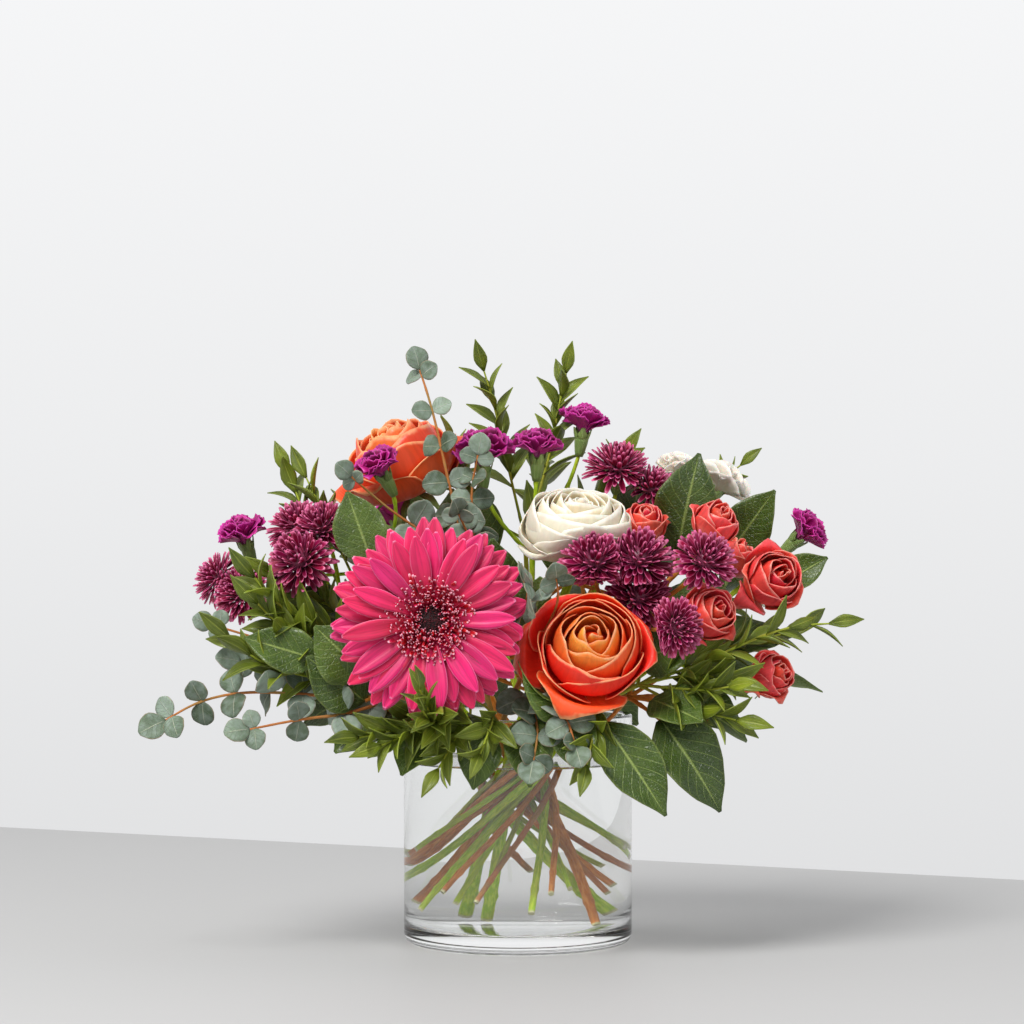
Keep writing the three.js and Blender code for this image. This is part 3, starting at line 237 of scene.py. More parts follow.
# a kind, a name and a radius: the bloom's centre, and the way it faces
BLOOMS = {name: Bloom(Kind[kind], float(radius), *points)
          for (kind, name, radius), points in rows_of("""
GERBERA gerbera 52: -46 -97 182, 0 -1 .05
ROSE rose_front 39: 39 -89 170, .05 -.85 .45
ROSE rose_back 41: -68 6 272, -.35 -.25 .9
ROSE rose_white 34: 33 -43 236, .1 -.38 .93
SPRAY_ROSE coral_a 15.5: 108 -42 234, .45 -.5 .75
SPRAY_ROSE coral_b 20: 140 -36 203, .35 -.85 .3
SPRAY_ROSE coral_c 17: 104 -68 185, .5 -.75 .35
SPRAY_ROSE coral_d 15: 138 -50 151, .6 -.6 .3
SPRAY_ROSE coral_e 14: 70 -18 234, .1 -.5 .8
SPRAY_ROSE coral_f 14: 122 0 214, .5 -.2 .8
SPRAY_ROSE coral_back 18: -28 84 214, -.1 .85 .4
MUM mum_g 15.5: 41 -67 213, 0 -.8 .6
MUM mum_h 16: 65 -62 214, .2 -.8 .6
MUM mum_k 15: 65 -56 194, .2 -.8 .4
MUM mum_i 14: 100 -75 213, .3 -.8 .5
MUM mum_j 12.5: 84 -86 178, .3 -.9 .1
MUM mum_l 15.5: 56 0 264, .1 -.4 .9
MUM mum_m 14: 75 5 252, .4 -.3 .8
MUM mum_n 15.5: -118 -56 213, -.4 -.8 .4
MUM mum_p 13.5: -107 -44 231, -.3 -.6 .7
MUM mum_o 14: -121 -28 232, -.4 -.4 .8
MUM mum_q 12: -166 -20 203, -.8 -.4 .5
MUM mum_s 12.5: -152 -33 195, -.5 -.8 .3
MUM mum_v 15.5: 62 64 224, .5 .7 .5
MUM mum_w 14.5: 41 72 215, .2 .9 .3
CARNATION mini_a 12: -76 -36 264, -.45 -.3 .85
CARNATION mini_b 16: -19 -10 272, 0 -.15 1
CARNATION mini_c 12.5: 11 -16 275, .05 -.2 1
CARNATION mini_d 12.5: 37 6 289, .15 -.1 1
CARNATION mini_e 13: 161 9 228, .65 -.1 .6
CARNATION mini_f 12.5: -153 -6 227, -.3 -.2 .9
CARNATION mini_g 13: -72 68 236, -.5 .6 .6
CARNATION white_a 13: 89 34 266, -.25 0 .95
CARNATION white_b 17.5: 117 44 258, .5 0 .85
""")}

# a habitus, a name and a radius: the trunk; then its branches, which are
# bloom with its name: a knot on the way to it,
# twig with its leaves' size, number and start: its front, and its path, or
# blade with its width: its front, its base and its tip
PLANTS = plants_of("""
NONE gerbera_stem 3.2: 31.9 30.3 14, -12.7 11.5 84.1, -38.5 -40.6 127.7
bloom gerbera: -44.1 -68.1 168
NONE rose_front_stem 2.9: -17.8 39.3 12.3, -11.7 .1 84.2, 9.2 -36.1 146.9
bloom rose_front: 30.4 -49.3 149.9
NONE rose_back_stem 3: 38.1 -25.3 12.4, 10.9 4 82.8, -21.1 16.1 142.9
bloom rose_back: -45.8 16.4 211.7
NONE rose_white_stem 2.7: -11.2 30.5 10.9, -4.8 2.2 81.6, 5.7 -17.6 143.1
bloom rose_white: 23.7 -26.3 187.2
NONE spray_rose_stem_high 2.2: -37.8 21 20.5, -6 -6 84.6, 34.5 -15.3 140.1, 72 -14 190
bloom coral_a: 90.4 -25.5 208.7
bloom coral_e: 68.5 -7.2 207.5
bloom coral_f: 100 .4 192.7
NONE spray_rose_stem_low 2.2: -45.3 23.1 30.4, -7.6 -16.6 78.1, 38.3 -24.9 128.1, 80 -28 160
bloom coral_b: 117.3 -14.7 185.6
bloom coral_c: 87.6 -42.4 171.5
bloom coral_d: 110.9 -31.8 146.8
NONE spray_rose_stem_back 2.1: 6.5 -42 21.3, 14.1 -1.6 85.3, -1.8 34 145
bloom coral_back: -19.7 53.1 188
NONE mum_stem_right 1.9: -36 32.1 40.5, -12.3 -7.7 84, 28.4 -26.6 133.7, 56.2 -33.9 175.9
bloom mum_k: 58.8 -34.6 181.6
bloom mum_g: 44.7 -44 192.7
bloom mum_h: 51.3 -22 210.7
bloom mum_i: 84.1 -50.5 194.9
bloom mum_j: 71.9 -57.4 175.7
NONE mum_stem_top 1.8: -36.2 -2.2 28.7, .6 -4.7 82.9, 27.8 -.4 145.8, 52 6 226
bloom mum_l: 53.1 9 237.7
bloom mum_m: 61.8 10.9 230.6
NONE mum_stem_left 1.9: 51.7 3 46.5, 1.2 16.4 89.4, -48.2 1.6 137, -96.5 -23.3 182.9
bloom mum_n: -105.1 -32.7 198
bloom mum_p: -99.1 -28.2 206.6
bloom mum_o: -107.7 -19.6 205.5
bloom mum_q: -136.1 -14.4 190
bloom mum_s: -129.9 -17.1 186.9
NONE mum_stem_back 1.8: -37.5 -30.2 31.2, 7.5 -9.7 80.2, 28.4 19.9 136.2, 38 44 186
bloom mum_v: 46.7 46 205.3
bloom mum_w: 36.6 48.4 202.3
NONE carnation_stem_left 1.6: 48.7 -.4 52.5, -.5 11.1 85.5, -40.3 -1 142.4, -76 -12 206
bloom mini_a: -66.8 -24 232.4
bloom mini_f: -127.6 -3.2 202.6
NONE carnation_stem_top 1.7: -26.8 -3.3 22.5, 1.3 .1 81.1, 7.4 1.8 142.8, 8 4 214
bloom mini_b: -12.4 -3.3 236
bloom mini_c: 9.2 -7 239.7
bloom mini_d: 26.8 7.5 250.2
NONE carnation_stem_right 1.6: -46.7 -3.4 51.7, -3.6 -15.7 89.1, 48.4 -12.3 136.8
bloom mini_e: 118 5.7 191.7
NONE carnation_stem_back 1.6: 25.4 -32.7 33.3, 4.3 4.4 81.5, -17.8 32.6 140.8
bloom mini_g: -48.2 46.6 199.8
NONE carnation_white_stem 1.9: -44.9 -7.1 18.9, 2.4 -10.7 83.4, 42.8 8.2 143.1, 78 34 210
bloom white_a: 91.6 34 232
bloom white_b: 96 41.5 226.7
ROUND eucalyptus_top 1.6: 35.2 14.5 26.1, -1.3 6.9 83.6, -19.5 -8 141.3, -26 -20 205
twig 17 6 .1: .2 -1 .2, -33 -28 234, -39 -31 260, -44 -29 283, -49 -26 302, -54 -23 317
twig 15 2 .5: -.3 -1 .4, -49 -34 226, -71 -45 241, -90 -52 258
twig 16 2 .5: 0 -1 .4, -25 -46 222, -32 -62 238
twig 16 5 .3: 0 -1 .3, -24 -28 226, -26 -34 250, -22 -34 270
ROUND eucalyptus_front 1.6: 4.2 51.7 36.5, -18.5 5.9 79.2, -9.2 -37.3 124.9, 2 -56 150
twig 18 3 .5: 0 -1 .4, -2 -76 177, 6 -97 196, 3 -118 203
twig 19 4 .3: 0 -1 .2, 7 -72 137, 11 -85 123, 8 -94 108
twig 18 4 .4: 0 -1 .2, 16 -74 142, 26 -90 130, 30 -98 116
twig 16 3 .5: 0 -1 .4, 10 -64 168, 22 -84 190, 20 -96 204
ROUND eucalyptus_left 1.7: 43.2 25.2 35.1, -4.8 14.6 83.8, -35.7 -19.6 128.5, -64 -58 140
twig 20 7 .12: -.2 -1 .3, -93 -63 139, -120 -68 142, -148 -71 143, -171 -73 138, -188 -74 128
twig 18 3 .4: -.2 -1 .3, -90 -72 131, -116 -82 129, -142 -88 124
twig 15 3 .55: -.4 -1 .4, -102 -58 156, -134 -58 169, -164 -58 178
twig 18 5 .4: -.2 -1 .4, -78 -50 150, -116 -44 154, -150 -50 158
ROUND eucalyptus_back 1.7: -21.3 -42.5 27, 16.1 -10.4 82.7, 20.1 33.7 126.9, 14 60 150
twig 18 3 .4: .1 1 .3, 22 81 168, 29 98 187, 34 112 208
twig 18 3 .4: 0 1 .3, 4 82 143, -7 100 138, -16 114 128
NARROW ruscus_top 1.4: -11.7 -24.2 38.7, 7.2 -1.1 86.8, 8.1 12 146.3, 4 18 224
twig 24 8 .3: 0 -1 .3, -3 18 254, -9 17 280, -14 14 302, -19 11 318
twig 24 8 .35: 0 -1 .3, 12 22 250, 19 22 275, 23 18 298, 27 15 317
twig 24 4 .45: 0 -1 .3, 30 26 232, 50 30 254, 60 30 270
twig 24 5 .45: 0 -1 .3, -20 22 236, -32 30 258, -38 34 276
twig 20 2 .88: .2 -.8 .4, 60 44 228, 100 68 244, 129 70 266
twig 25 6 .35: 0 1 .4, 10 48 226, 14 66 250, 16 78 268
NARROW ruscus_left 1.4: 47 13.2 50.5, -2.8 17.5 86.3, -43.3 -10.1 129.8, -73.8 -37.9 160.1
twig 27 8 .25: -.4 -1 .3, -99 -50 172, -118 -63 182, -132 -69 192, -141 -70 204
twig 26 6 .5: -.2 -1 .3, -95 -22 191, -110 -8 220, -121 0 243, -128 6 260
twig 27 7 .3: -.3 -1 .3, -100 -54 160, -118 -66 170, -130 -72 180, -139 -72 190
twig 27 7 .25: -.2 -1 .4, -98 -56 148, -120 -68 152, -140 -74 160, -154 -74 172
twig 26 5 .5: -.2 -1 .3, -90 -28 204, -104 -12 228, -112 -4 246, -118 2 258
twig 26 5 .4: -.4 -1 .4, -96 -40 186, -118 -44 194, -132 -50 204
NARROW ruscus_front 1.4: 29 33.4 40, -15.9 17 85.2, -33.3 -26.7 124.6, -28.2 -59 141.5
twig 22 7 .3: 0 -.6 1, -37 -80 134, -44 -102 127, -51 -124 147
twig 26 6 .3: -.1 -1 .3, -46 -73 130, -65 -84 123, -84 -92 120
twig 25 6 .3: -.1 -1 .3, -34 -72 132, -52 -86 124, -72 -94 116
twig 24 5 .35: 0 -1 .3, -24 -76 130, -34 -92 118, -42 -98 104
twig 22 6 .35: 0 -1 .6, -36 -80 124, -46 -102 128, -50 -114 136
twig 22 4 .4: 0 -1 .3, -12 -76 132, -16 -96 122, -20 -102 112
NARROW ruscus_right 1.5: -33.9 37.1 45.4, -16.8 -8.5 87.6, 25.6 -32.9 128.8, 65.6 -48 145.4
twig 24 8 .2: .2 -1 .3, 97 -63 157, 124 -66 170, 147 -66 178, 167 -62 179
twig 24 5 .25: .1 -1 .3, 85 -63 144, 101 -75 144, 112 -82 146
twig 25 5 .35: .1 -1 .3, 40 -72 134, 40 -90 122, 36 -98 106
twig 27 5 .3: .1 -1 .4, 80 -62 138, 100 -72 132, 116 -76 128
twig 27 5 .3: .1 -1 .4, 82 -56 150, 100 -66 152, 114 -70 148
twig 26 5 .35: .2 -1 .4, 88 -34 158, 118 -30 166, 144 -30 172
twig 26 6 .35: .6 .6 .6, 70 0 172, 108 24 182, 140 34 190
BROAD salal_right 1.7: -48.6 5.4 47.5, -1.5 -12.7 86.2, 44.1 -5.4 135.5, 78.2 11 184.7
blade 38: 0 -1 .1, 89 0 216, 100 -10 271
blade 30: .2 -1 .4, 119 32 214, 144 12 251
blade 24: .2 -.8 .7, 140 8 192, 172 -2 214
blade 34: .3 .3 .9, 108 34 190, 148 48 196
blade 32: 0 -1 .2, 30 0 200, 22 8 250
blade 32: .1 -1 .3, 58 20 214, 70 34 258
blade 32: .2 -1 .4, 84 -10 190, 122 -20 186
blade 34: .8 .3 .5, 80 20 170, 122 30 156
blade 32: .5 1 .4, 88 44 204, 106 68 236
blade 34: .4 1 .4, 84 34 172, 122 56 198
BROAD salal_right_low 1.8: -41 31 37.6, -16.8 -11.3 83.6, 27.8 -31.9 122.9, 60.5 -40 138.4
blade 34: 0 -.5 .9, 98 -12 138, 169 -8 143
blade 32: 0 -1 .2, 46 -80 126, 78 -93 79
blade 38: .3 -1 .3, 76 -70 128, 108 -80 80
blade 30: 0 -1 .3, 30 -82 130, 2 -96 160
blade 28: 0 -1 .2, 6 -76 130, 6 -90 94
blade 26: .1 -1 .2, 24 -78 132, 36 -94 102
blade 32: .1 -1 .5, 66 -44 160, 98 -62 168
blade 30: .2 -1 .6, 72 -60 138, 98 -84 128
blade 32: 0 -1 .3, 8 -52 170, 12 -72 204
blade 34: .8 -.4 .4, 84 -30 134, 126 -34 116
blade 32: .3 -.8 .7, 98 -20 160, 150 -24 172
BROAD salal_left 1.8: 35.1 22.6 29.8, -4.7 9.9 82.2, -32 -25.1 130.2, -60.6 -64.3 147
blade 34: -.2 -1 .2, -80 -74 152, -108 -84 178
blade 26: -.2 -1 .2, -106 -76 160, -146 -78 172
blade 30: -.2 -1 .2, -78 -70 212, -92 -66 250
blade 24: 0 -1 .2, -18 -78 124, -24 -86 92
blade 32: -.1 -1 .2, -82 -68 138, -112 -84 162
blade 34: -.2 -1 .3, -60 -30 196, -88 -34 236
blade 34: -.3 -.8 .6, -86 -30 178, -134 -42 186
blade 34: 0 -1 .3, -12 -30 182, -14 -52 224
blade 28: -.2 -1 .2, -46 -72 128, -62 -88 100
blade 32: -.4 -1 .3, -70 -58 132, -98 -76 112
blade 34: -.8 -.4 .4, -78 -30 140, -118 -34 124
BROAD salal_back 1.8: 16.6 -45.2 32, 18.1 2.3 84.1, -10.9 37 128.2, -34 54 152
blade 42: -.2 1 .4, -48 74 168, -86 100 190
blade 40: 0 1 .3, -14 74 150, -42 104 120
blade 38: -.4 .5 .8, -62 56 152, -118 62 160
blade 34: -.4 .9 .4, -56 58 196, -104 60 224
blade 32: 0 -1 .2, -20 10 210, -30 18 256
blade 34: -.4 -.6 .8, -56 20 200, -100 22 216
blade 34: .1 1 .3, 10 70 134, 24 96 108
blade 34: -.5 1 .3, -56 62 134, -84 78 108
blade 34: .5 1 .3, 40 62 136, 70 86 116
blade 34: .1 1 .3, 30 50 200, 36 66 244
blade 34: -.1 1 .3, -30 44 210, -38 64 252
blade 34: -.8 .5 .4, -78 34 142, -116 46 122
blade 34: .2 1 .3, 24 66 158, 46 92 192
blade 36: 0 1 .3, -26 58 156, -36 86 192
blade 34: .1 1 .3, -4 56 160, 6 82 196
blade 34: .5 1 .3, 54 52 166, 88 72 194
blade 34: -1 .2 .3, -60 30 160, -96 34 192
blade 34: -.9 .5 .4, -50 50 176, -80 66 208
blade 34: -1 -.1 .4, -62 4 168, -98 4 200
""")


# ---- rooms of the blooms


class Rooms:
    """The ellipsoids that the blooms take up, and the planes where two blooms press together."""

    SOFT = 3.0  # how far before a border a petal starts to give way
    LEAST = 4.0  # how near a bloom's middle a border may come
    MIDDLE = 1e-3  # the share of a room round its middle where points stay

    @classmethod
    def clear(cls, points: np.ndarray, margin: float) -> np.ndarray:
        """Pushes leaf points out of every bloom.

        Args:
            points: places in millimetres, one row each.
            margin: how much the rooms are grown.

        Returns:
            The same places, moved where they were inside.
        """
        for bloom in BLOOMS.values():
            offset = points - np.array(bloom.at)
            axial = (offset * np.array(bloom.axis)).sum(axis=1)
            radial = np.sqrt(np.maximum((offset**2).sum(axis=1) - axial**2, 0))
            measure = np.hypot(axial / (bloom.half + margin), radial / (bloom.radius + margin))
            inside = (measure < 1) & (measure > cls.MIDDLE)
            points[inside] = np.array(bloom.at) + offset[inside] / measure[inside][:, None]
        return points

    @classmethod
    def borders(cls, own: Bloom) -> Iterable[tuple[Vector, Vector]]:
        """A point and an outward normal of each plane between a bloom and one that it meets."""
        for rival in BLOOMS.values():
            toward = rival.at - own.at
            distance = toward.length
            if distance < 1:
                continue
            toward.normalize()
            mine, theirs = own.reach(toward), rival.reach(toward)
            if mine + theirs >= distance - GAP:
                share = distance * mine / (mine + theirs)
                share = min(max(share, cls.LEAST), distance - cls.LEAST)
                yield own.at + toward * (share - GAP / 2), toward

    @classmethod
    def press(cls, own: Bloom, points: np.ndarray) -> np.ndarray:
        """Bends a bloom's petals back from the borders with its neighbours."""
        for point, normal in cls.borders(own):
            over = np.maximum((points - np.array(point)) @ np.array(normal) + cls.SOFT, 0)
            points -= np.outer(over - cls.SOFT * (1 - np.exp(-over / cls.SOFT)), normal)
        return points


# ---- node trees and finishes


def tint(code: str) -> Colour:
    """A colour from its six hexadecimal sRGB digits, in linear light."""
    parts = [part / 255 for part in bytes.fromhex(code)]
    red, green, blue = (c / 12.92 if c <= 0.04045 else ((c + 0.055) / 1.055) ** 2.4 for c in parts)
    return red, green, blue, 1.0


class Value:
    """A number or a colour in a node tree, and the sums that it takes part in."""

    def __init__(self, wiring: Wiring, socket: Socket) -> None:
        """Takes the tree's wiring and the socket that gives the value."""
        self.wiring, self.socket = wiring, socket

    def sum(self, operation: str, other: object = 0.0, first: bool = True) -> Value:
        """The result of a sum with another value, of which this is the first term or not."""
        terms = {0: self, 1: other} if first else {0: other, 1: self}
        return self.wiring.add("ShaderNodeMath", terms, operation=operation)

    __add__ = partialmethod(sum, "ADD")
    __sub__ = partialmethod(sum, "SUBTRACT")
    __rsub__ = partialmethod(sum, "SUBTRACT", first=False)
    __mul__ = partialmethod(sum, "MULTIPLY")
    __truediv__ = partialmethod(sum, "DIVIDE")
    __abs__ = partialmethod(sum, "ABSOLUTE")

    def between(self, low: float, high: float) -> Value:
        """This, taken from a range to 0 to 1, smoothly and within those limits."""
        return self.wiring.add("ShaderNodeMapRange", {"Value": self, "From Min": low,
                               "From Max": high}, interpolation_type="SMOOTHSTEP")

    def ramp(self, *stops: tuple[float, Colour]) -> Value:
        """The colour at this number along a row of stops."""
        found = self.wiring.add("ShaderNodeValToRGB", {"Fac": self})
        elements = found.socket.node.color_ramp.elements
        for index, (place, colour) in enumerate(stops):
            element = elements[index] if index < 2 else elements.new(place)
            element.position, element.color = place, colour
        return found


class Wiring:
    """A node tree under construction, for a material, the world or a modifier."""

    def __init__(self, tree: bpy.types.NodeTree) -> None:
        """Takes the tree to fill."""
        self.tree = tree

    def put(self, socket: Socket, value: object) -> None:
        """Links a socket to a value, or sets it."""
        if isinstance(value, Value):
            self.tree.links.new(value.socket, socket)
        else:
            socket.default_value = value

    def add(self, kind: str, inputs: dict | None = None, output: str = "",
            **settings: object) -> Value:
        """Adds a node.

        Args:
            kind: the node's type.
            inputs: what each input, by its name or number, is linked to or set to.
            output: the output to use, if not the first that is on.
            **settings: the node's own options.

        Returns:
            What it gives.
        """
        node = self.tree.nodes.new(kind)
        for key, value in settings.items():
            setattr(node, key, value)
        for key, value in (inputs or {}).items():
            usable = [s for s in node.inputs if s.enabled and s.name == key]
            self.put(usable[0] if isinstance(key, str) else node.inputs[key], value)
        first = next(socket for socket in node.outputs if socket.enabled)
        return Value(self, node.outputs[output] if output else first)

    def blend(self, share: object, a: object, b: object) -> Value:
        """The number at a share of the way from a to b."""
        return self.add("ShaderNodeMix", {0: share, 2: a, 3: b}, data_type="FLOAT")

    def tinted(self, share: object, a: object, b: object) -> Value:
        """The colour at a share of the way from a to b."""
        return self.add("ShaderNodeMix", {0: share, 6: a, 7: b}, data_type="RGBA")

    def vector(self, *parts: object) -> Value:
        """A vector of its parts."""
        return self.add("ShaderNodeCombineXYZ", dict(enumerate(parts)))

    def noise(self, place: object, scale: float, detail: float) -> Value:
        """Cloudy noise from 0 to 1."""
        return self.add("ShaderNodeTexNoise", {"Vector": place, "Scale": scale, "Detail": detail})

    def attribute(self, name: str) -> Value:
        """A number that the mesh holds under a name."""
        return self.add("ShaderNodeAttribute", output="Fac", attribute_name=name)


class Surface(Wiring):
    """A material's tree, with one main shader and the places that its patterns read."""

    def __init__(self, name: str) -> None:
        """Starts a named material."""
        self.material = bpy.data.materials.new(name)
        self.material.use_nodes = True
        super().__init__(self.material.node_tree)
        self.place = self.add("ShaderNodeTexCoord", output="Object")

    def across_and_along(self) -> tuple[Value, Value]:
        """The place on a petal or leaf: across it and along it, each from 0 to 1."""
        uv = self.add("ShaderNodeUVMap", uv_map="UVMap")
        split = self.add("ShaderNodeSeparateXYZ", {"Vector": uv}).socket.node.outputs
        return Value(self, split[0]), Value(self, split[1])

    def made(self, inputs: dict, height: Value | None = None, depth: float = 0,
             strength: float = 0.6) -> Material:
        """Finishes the material.

        Args:
            inputs: what each of the shader's inputs is linked to or set to.
            height: its relief, if it has one.
            depth: the relief's depth in metres.
            strength: how strongly the relief shades.

        Returns:
            The material.
        """
        if height:
            inputs["Normal"] = self.add("ShaderNodeBump", {"Height": height, "Distance": depth,
                                                           "Strength": strength})
        shader = self.tree.nodes["Principled BSDF"]
        for name, value in inputs.items():
            self.put(shader.inputs[name], value)
        return self.material


@dataclass(frozen=True)
class PetalFinish:
    """A petal's finish: colours from foot to rim, fine veins, and how much petals differ."""

    foot: str
    middle: str
    rim: str
    heart: str = ""  # the middle colour of the petals next to the heart, where it differs: the orange and apricot roses' own lighter centre, and painted shade that darkens the inner petals of the cream, coral, burgundy and magenta blooms
    turn: float = 0.5  # where along the petal its middle colour is reached
    lip: float = 0.93  # where its rim colour starts
    border: float = 0.6  # how much of the rim colour the petal's sides take
    veins: float = 0.22
    vein_count: float = 16
    spread: float = 0.16
    roughness: float = 0.5
    sheen: float = 0.0
    glow: float = 0.12

    def build(self, name: str) -> Material:
        """Makes the material."""
        s = Surface(name)
        across, along = s.across_and_along()
        tone, rank = s.attribute("tone"), s.attribute("rank")
        shift = along + s.noise(s.place, 140.0, 2.0) * 0.16 - 0.08
        outer, inner = (shift.ramp((0.02, tint(self.foot)), (self.turn, tint(middle)))
                        for middle in (self.middle, self.heart or self.middle))
        # the petals next to the heart take its colour: a real lighter centre on the orange and apricot
        # roses, painted shade on the inner petals where heart is darker
        colour = s.tinted(rank.between(0.1, 0.65), inner, outer)
        veins = s.noise(s.vector(across * self.vein_count, along * 1.6, tone * 37.0), 1.0, 4.0)
        lines = veins.between(0.42, 0.62)
        side = (abs(across - 0.5) * 2.0).between(self.lip, 1.0) * self.border
        colour = s.tinted(shift.between(self.lip, 1.0).sum("MAXIMUM", side), colour, tint(self.rim))
        hue = s.blend((tone * 7.0).sum("FRACT"), 0.492, 0.508)
        bright = s.blend(tone, 1 - self.spread, 1 + self.spread) * (1.0 - lines * self.veins)
        colour = s.add("ShaderNodeHueSaturation", {"Hue": hue, "Value": bright, "Color": colour})
        return s.made({
            "Base Color": colour, "Sheen Weight": self.sheen,
            "Roughness": s.blend(lines, self.roughness - 0.06, self.roughness + 0.08),
            "Subsurface Weight": self.glow, "Subsurface Radius": (0.004, 0.0015, 0.001),
        }, veins, 0.0004)


class Veining(Enum):
    """How a leaf's veins run."""

    NETTED = "a midrib with side veins and a net between them"
    PARALLEL = "fine veins along the leaf"
    FAINT = "a pale midrib and faint side veins"


@dataclass(frozen=True)
class LeafFinish:
    """A leaf's finish: its blade, young, rib and edge colours, its veining and its wax."""

    blade: str
    young: str
    rib: str
    edge: str
    veining: Veining
    roughness: float
    coat: float
    side_veins: float = 9.0
    wax: float = 0.0
    wax_colour: str = "a9b9b2"

    def build(self, name: str) -> Material:
        """Makes the material."""
        s = Surface(name)
        across, along = s.across_and_along()
        tone, off = s.attribute("tone"), abs(across - 0.5)
        cloud = s.noise(s.place, 90.0, 4.0)
        rib = 1.0 - off.between(0.008, 0.035)
        if self.veining is Veining.PARALLEL:
            fibres = s.noise(s.vector(off * 46.0, along, tone * 19.0), 1.0, 2.0)
            lines, strength = fibres.between(0.45, 0.65), 0.3
        else:
            slanted = ((along - off * 0.55) * self.side_veins).sum("PINGPONG", 0.5)
            lines = slanted.between(0.43, 0.5)
            strength = 0.55 if self.veining is Veining.NETTED else 0.25
        ripe = s.blend(0.45, tone, cloud.between(0.3, 0.72))
        colour = s.tinted(ripe, tint(self.blade), tint(self.young))
        colour = s.tinted(lines * strength, colour, tint(self.rib))
        colour = s.tinted(rib * 0.85, colour, tint(self.rib))
        colour = s.tinted(off.between(0.455, 0.5) * 0.7, colour, tint(self.edge))
        if self.wax:
            dust = s.noise(s.place, 260.0, 5.0).between(0.35, 0.7)
            colour = s.tinted(s.blend(0.5, dust, tone) * self.wax, colour, tint(self.wax_colour))
        bright = s.blend((tone * 5.0).sum("FRACT"), 0.82, 1.16)
        colour = s.add("ShaderNodeHueSaturation", {"Value": bright, "Color": colour})
        height = lines * -0.6 + rib
        if self.veining is Veining.NETTED:
            cells = s.add("ShaderNodeTexVoronoi", {"Vector": s.place, "Scale": 520.0},
                            feature="DISTANCE_TO_EDGE")
            height = height + cells.between(0.0, 0.16) * 0.7
        return s.made({
            "Base Color": colour, "Coat Weight": self.coat, "Coat Roughness": 0.25,
            "Roughness": s.blend(cloud, self.roughness - 0.08, self.roughness + 0.1),
            "Subsurface Weight": 0.06, "Subsurface Radius": (0.001, 0.003, 0.0008),
        }, height, 0.0005, 0.7)


@dataclass(frozen=True)
class StemFinish:
    """A stem's finish: green or woody, streaked along, with a pale cut end."""

    skin: str
    streak: str
    spot: str
    bark: float = 0.3
    roughness: float = 0.5

    def build(self, name: str) -> Material:
        """Makes the material."""
        s = Surface(name)
        along, turn = s.attribute("along"), s.attribute("around") * math.tau
        fibre = s.noise(s.vector(turn.sum("SINE"), turn.sum("COSINE"), along * 90.0), 2.6, 4.0)
        lines = fibre.between(0.35, 0.65)
        cloud = s.noise(s.place, 45.0, 4.0)
        colour = s.tinted(lines * 0.7, tint(self.skin), tint(self.streak))
        colour = s.tinted(cloud.between(0.45, 0.66) * self.bark, colour, tint(self.spot))
        colour = s.tinted(1.0 - along.between(0.0004, 0.0022), colour, tint("cecc9e"))
        return s.made({
            "Base Color": colour, "Specular IOR Level": 0.12,
            "Roughness": s.blend(lines, self.roughness - 0.1, self.roughness + 0.1),
            "Subsurface Weight": 0.05, "Subsurface Radius": (0.002, 0.002, 0.0008),
        }, fibre + cloud, 0.0007)


@dataclass(frozen=True)
class ClearFinish:
    """Glass or water: how it bends light, and a faint unevenness."""

    colour: Colour
    bend: float
    ripple: float

    def build(self, name: str) -> Material:
        """Makes the material."""
        s = Surface(name)
        cloud = s.noise(s.place, self.ripple, 2.0)
        lighter = tuple(min(c * 1.02, 1) for c in self.colour)
        return s.made({
            "Base Color": s.tinted(cloud, self.colour, lighter), "Transmission Weight": 1.0,
            "IOR": self.bend, "Roughness": 0.0,
        }, cloud, 0.0002, 0.25)


@dataclass(frozen=True)
class FloorFinish:
    """The floor's finish: one pale colour with a soft mottle."""

    colour: str

    def build(self, name: str) -> Material:
        """Makes the material."""
        s = Surface(name)
        pale = tint(self.colour)
        darker = tuple(c * 0.98 for c in pale[:3]) + (1.0,)
        cloud = s.noise(s.place, 1.3, 2.0)
        return s.made({"Base Color": s.tinted(cloud, darker, pale), "Roughness": 0.6})


Finish = PetalFinish | LeafFinish | StemFinish | ClearFinish | FloorFinish

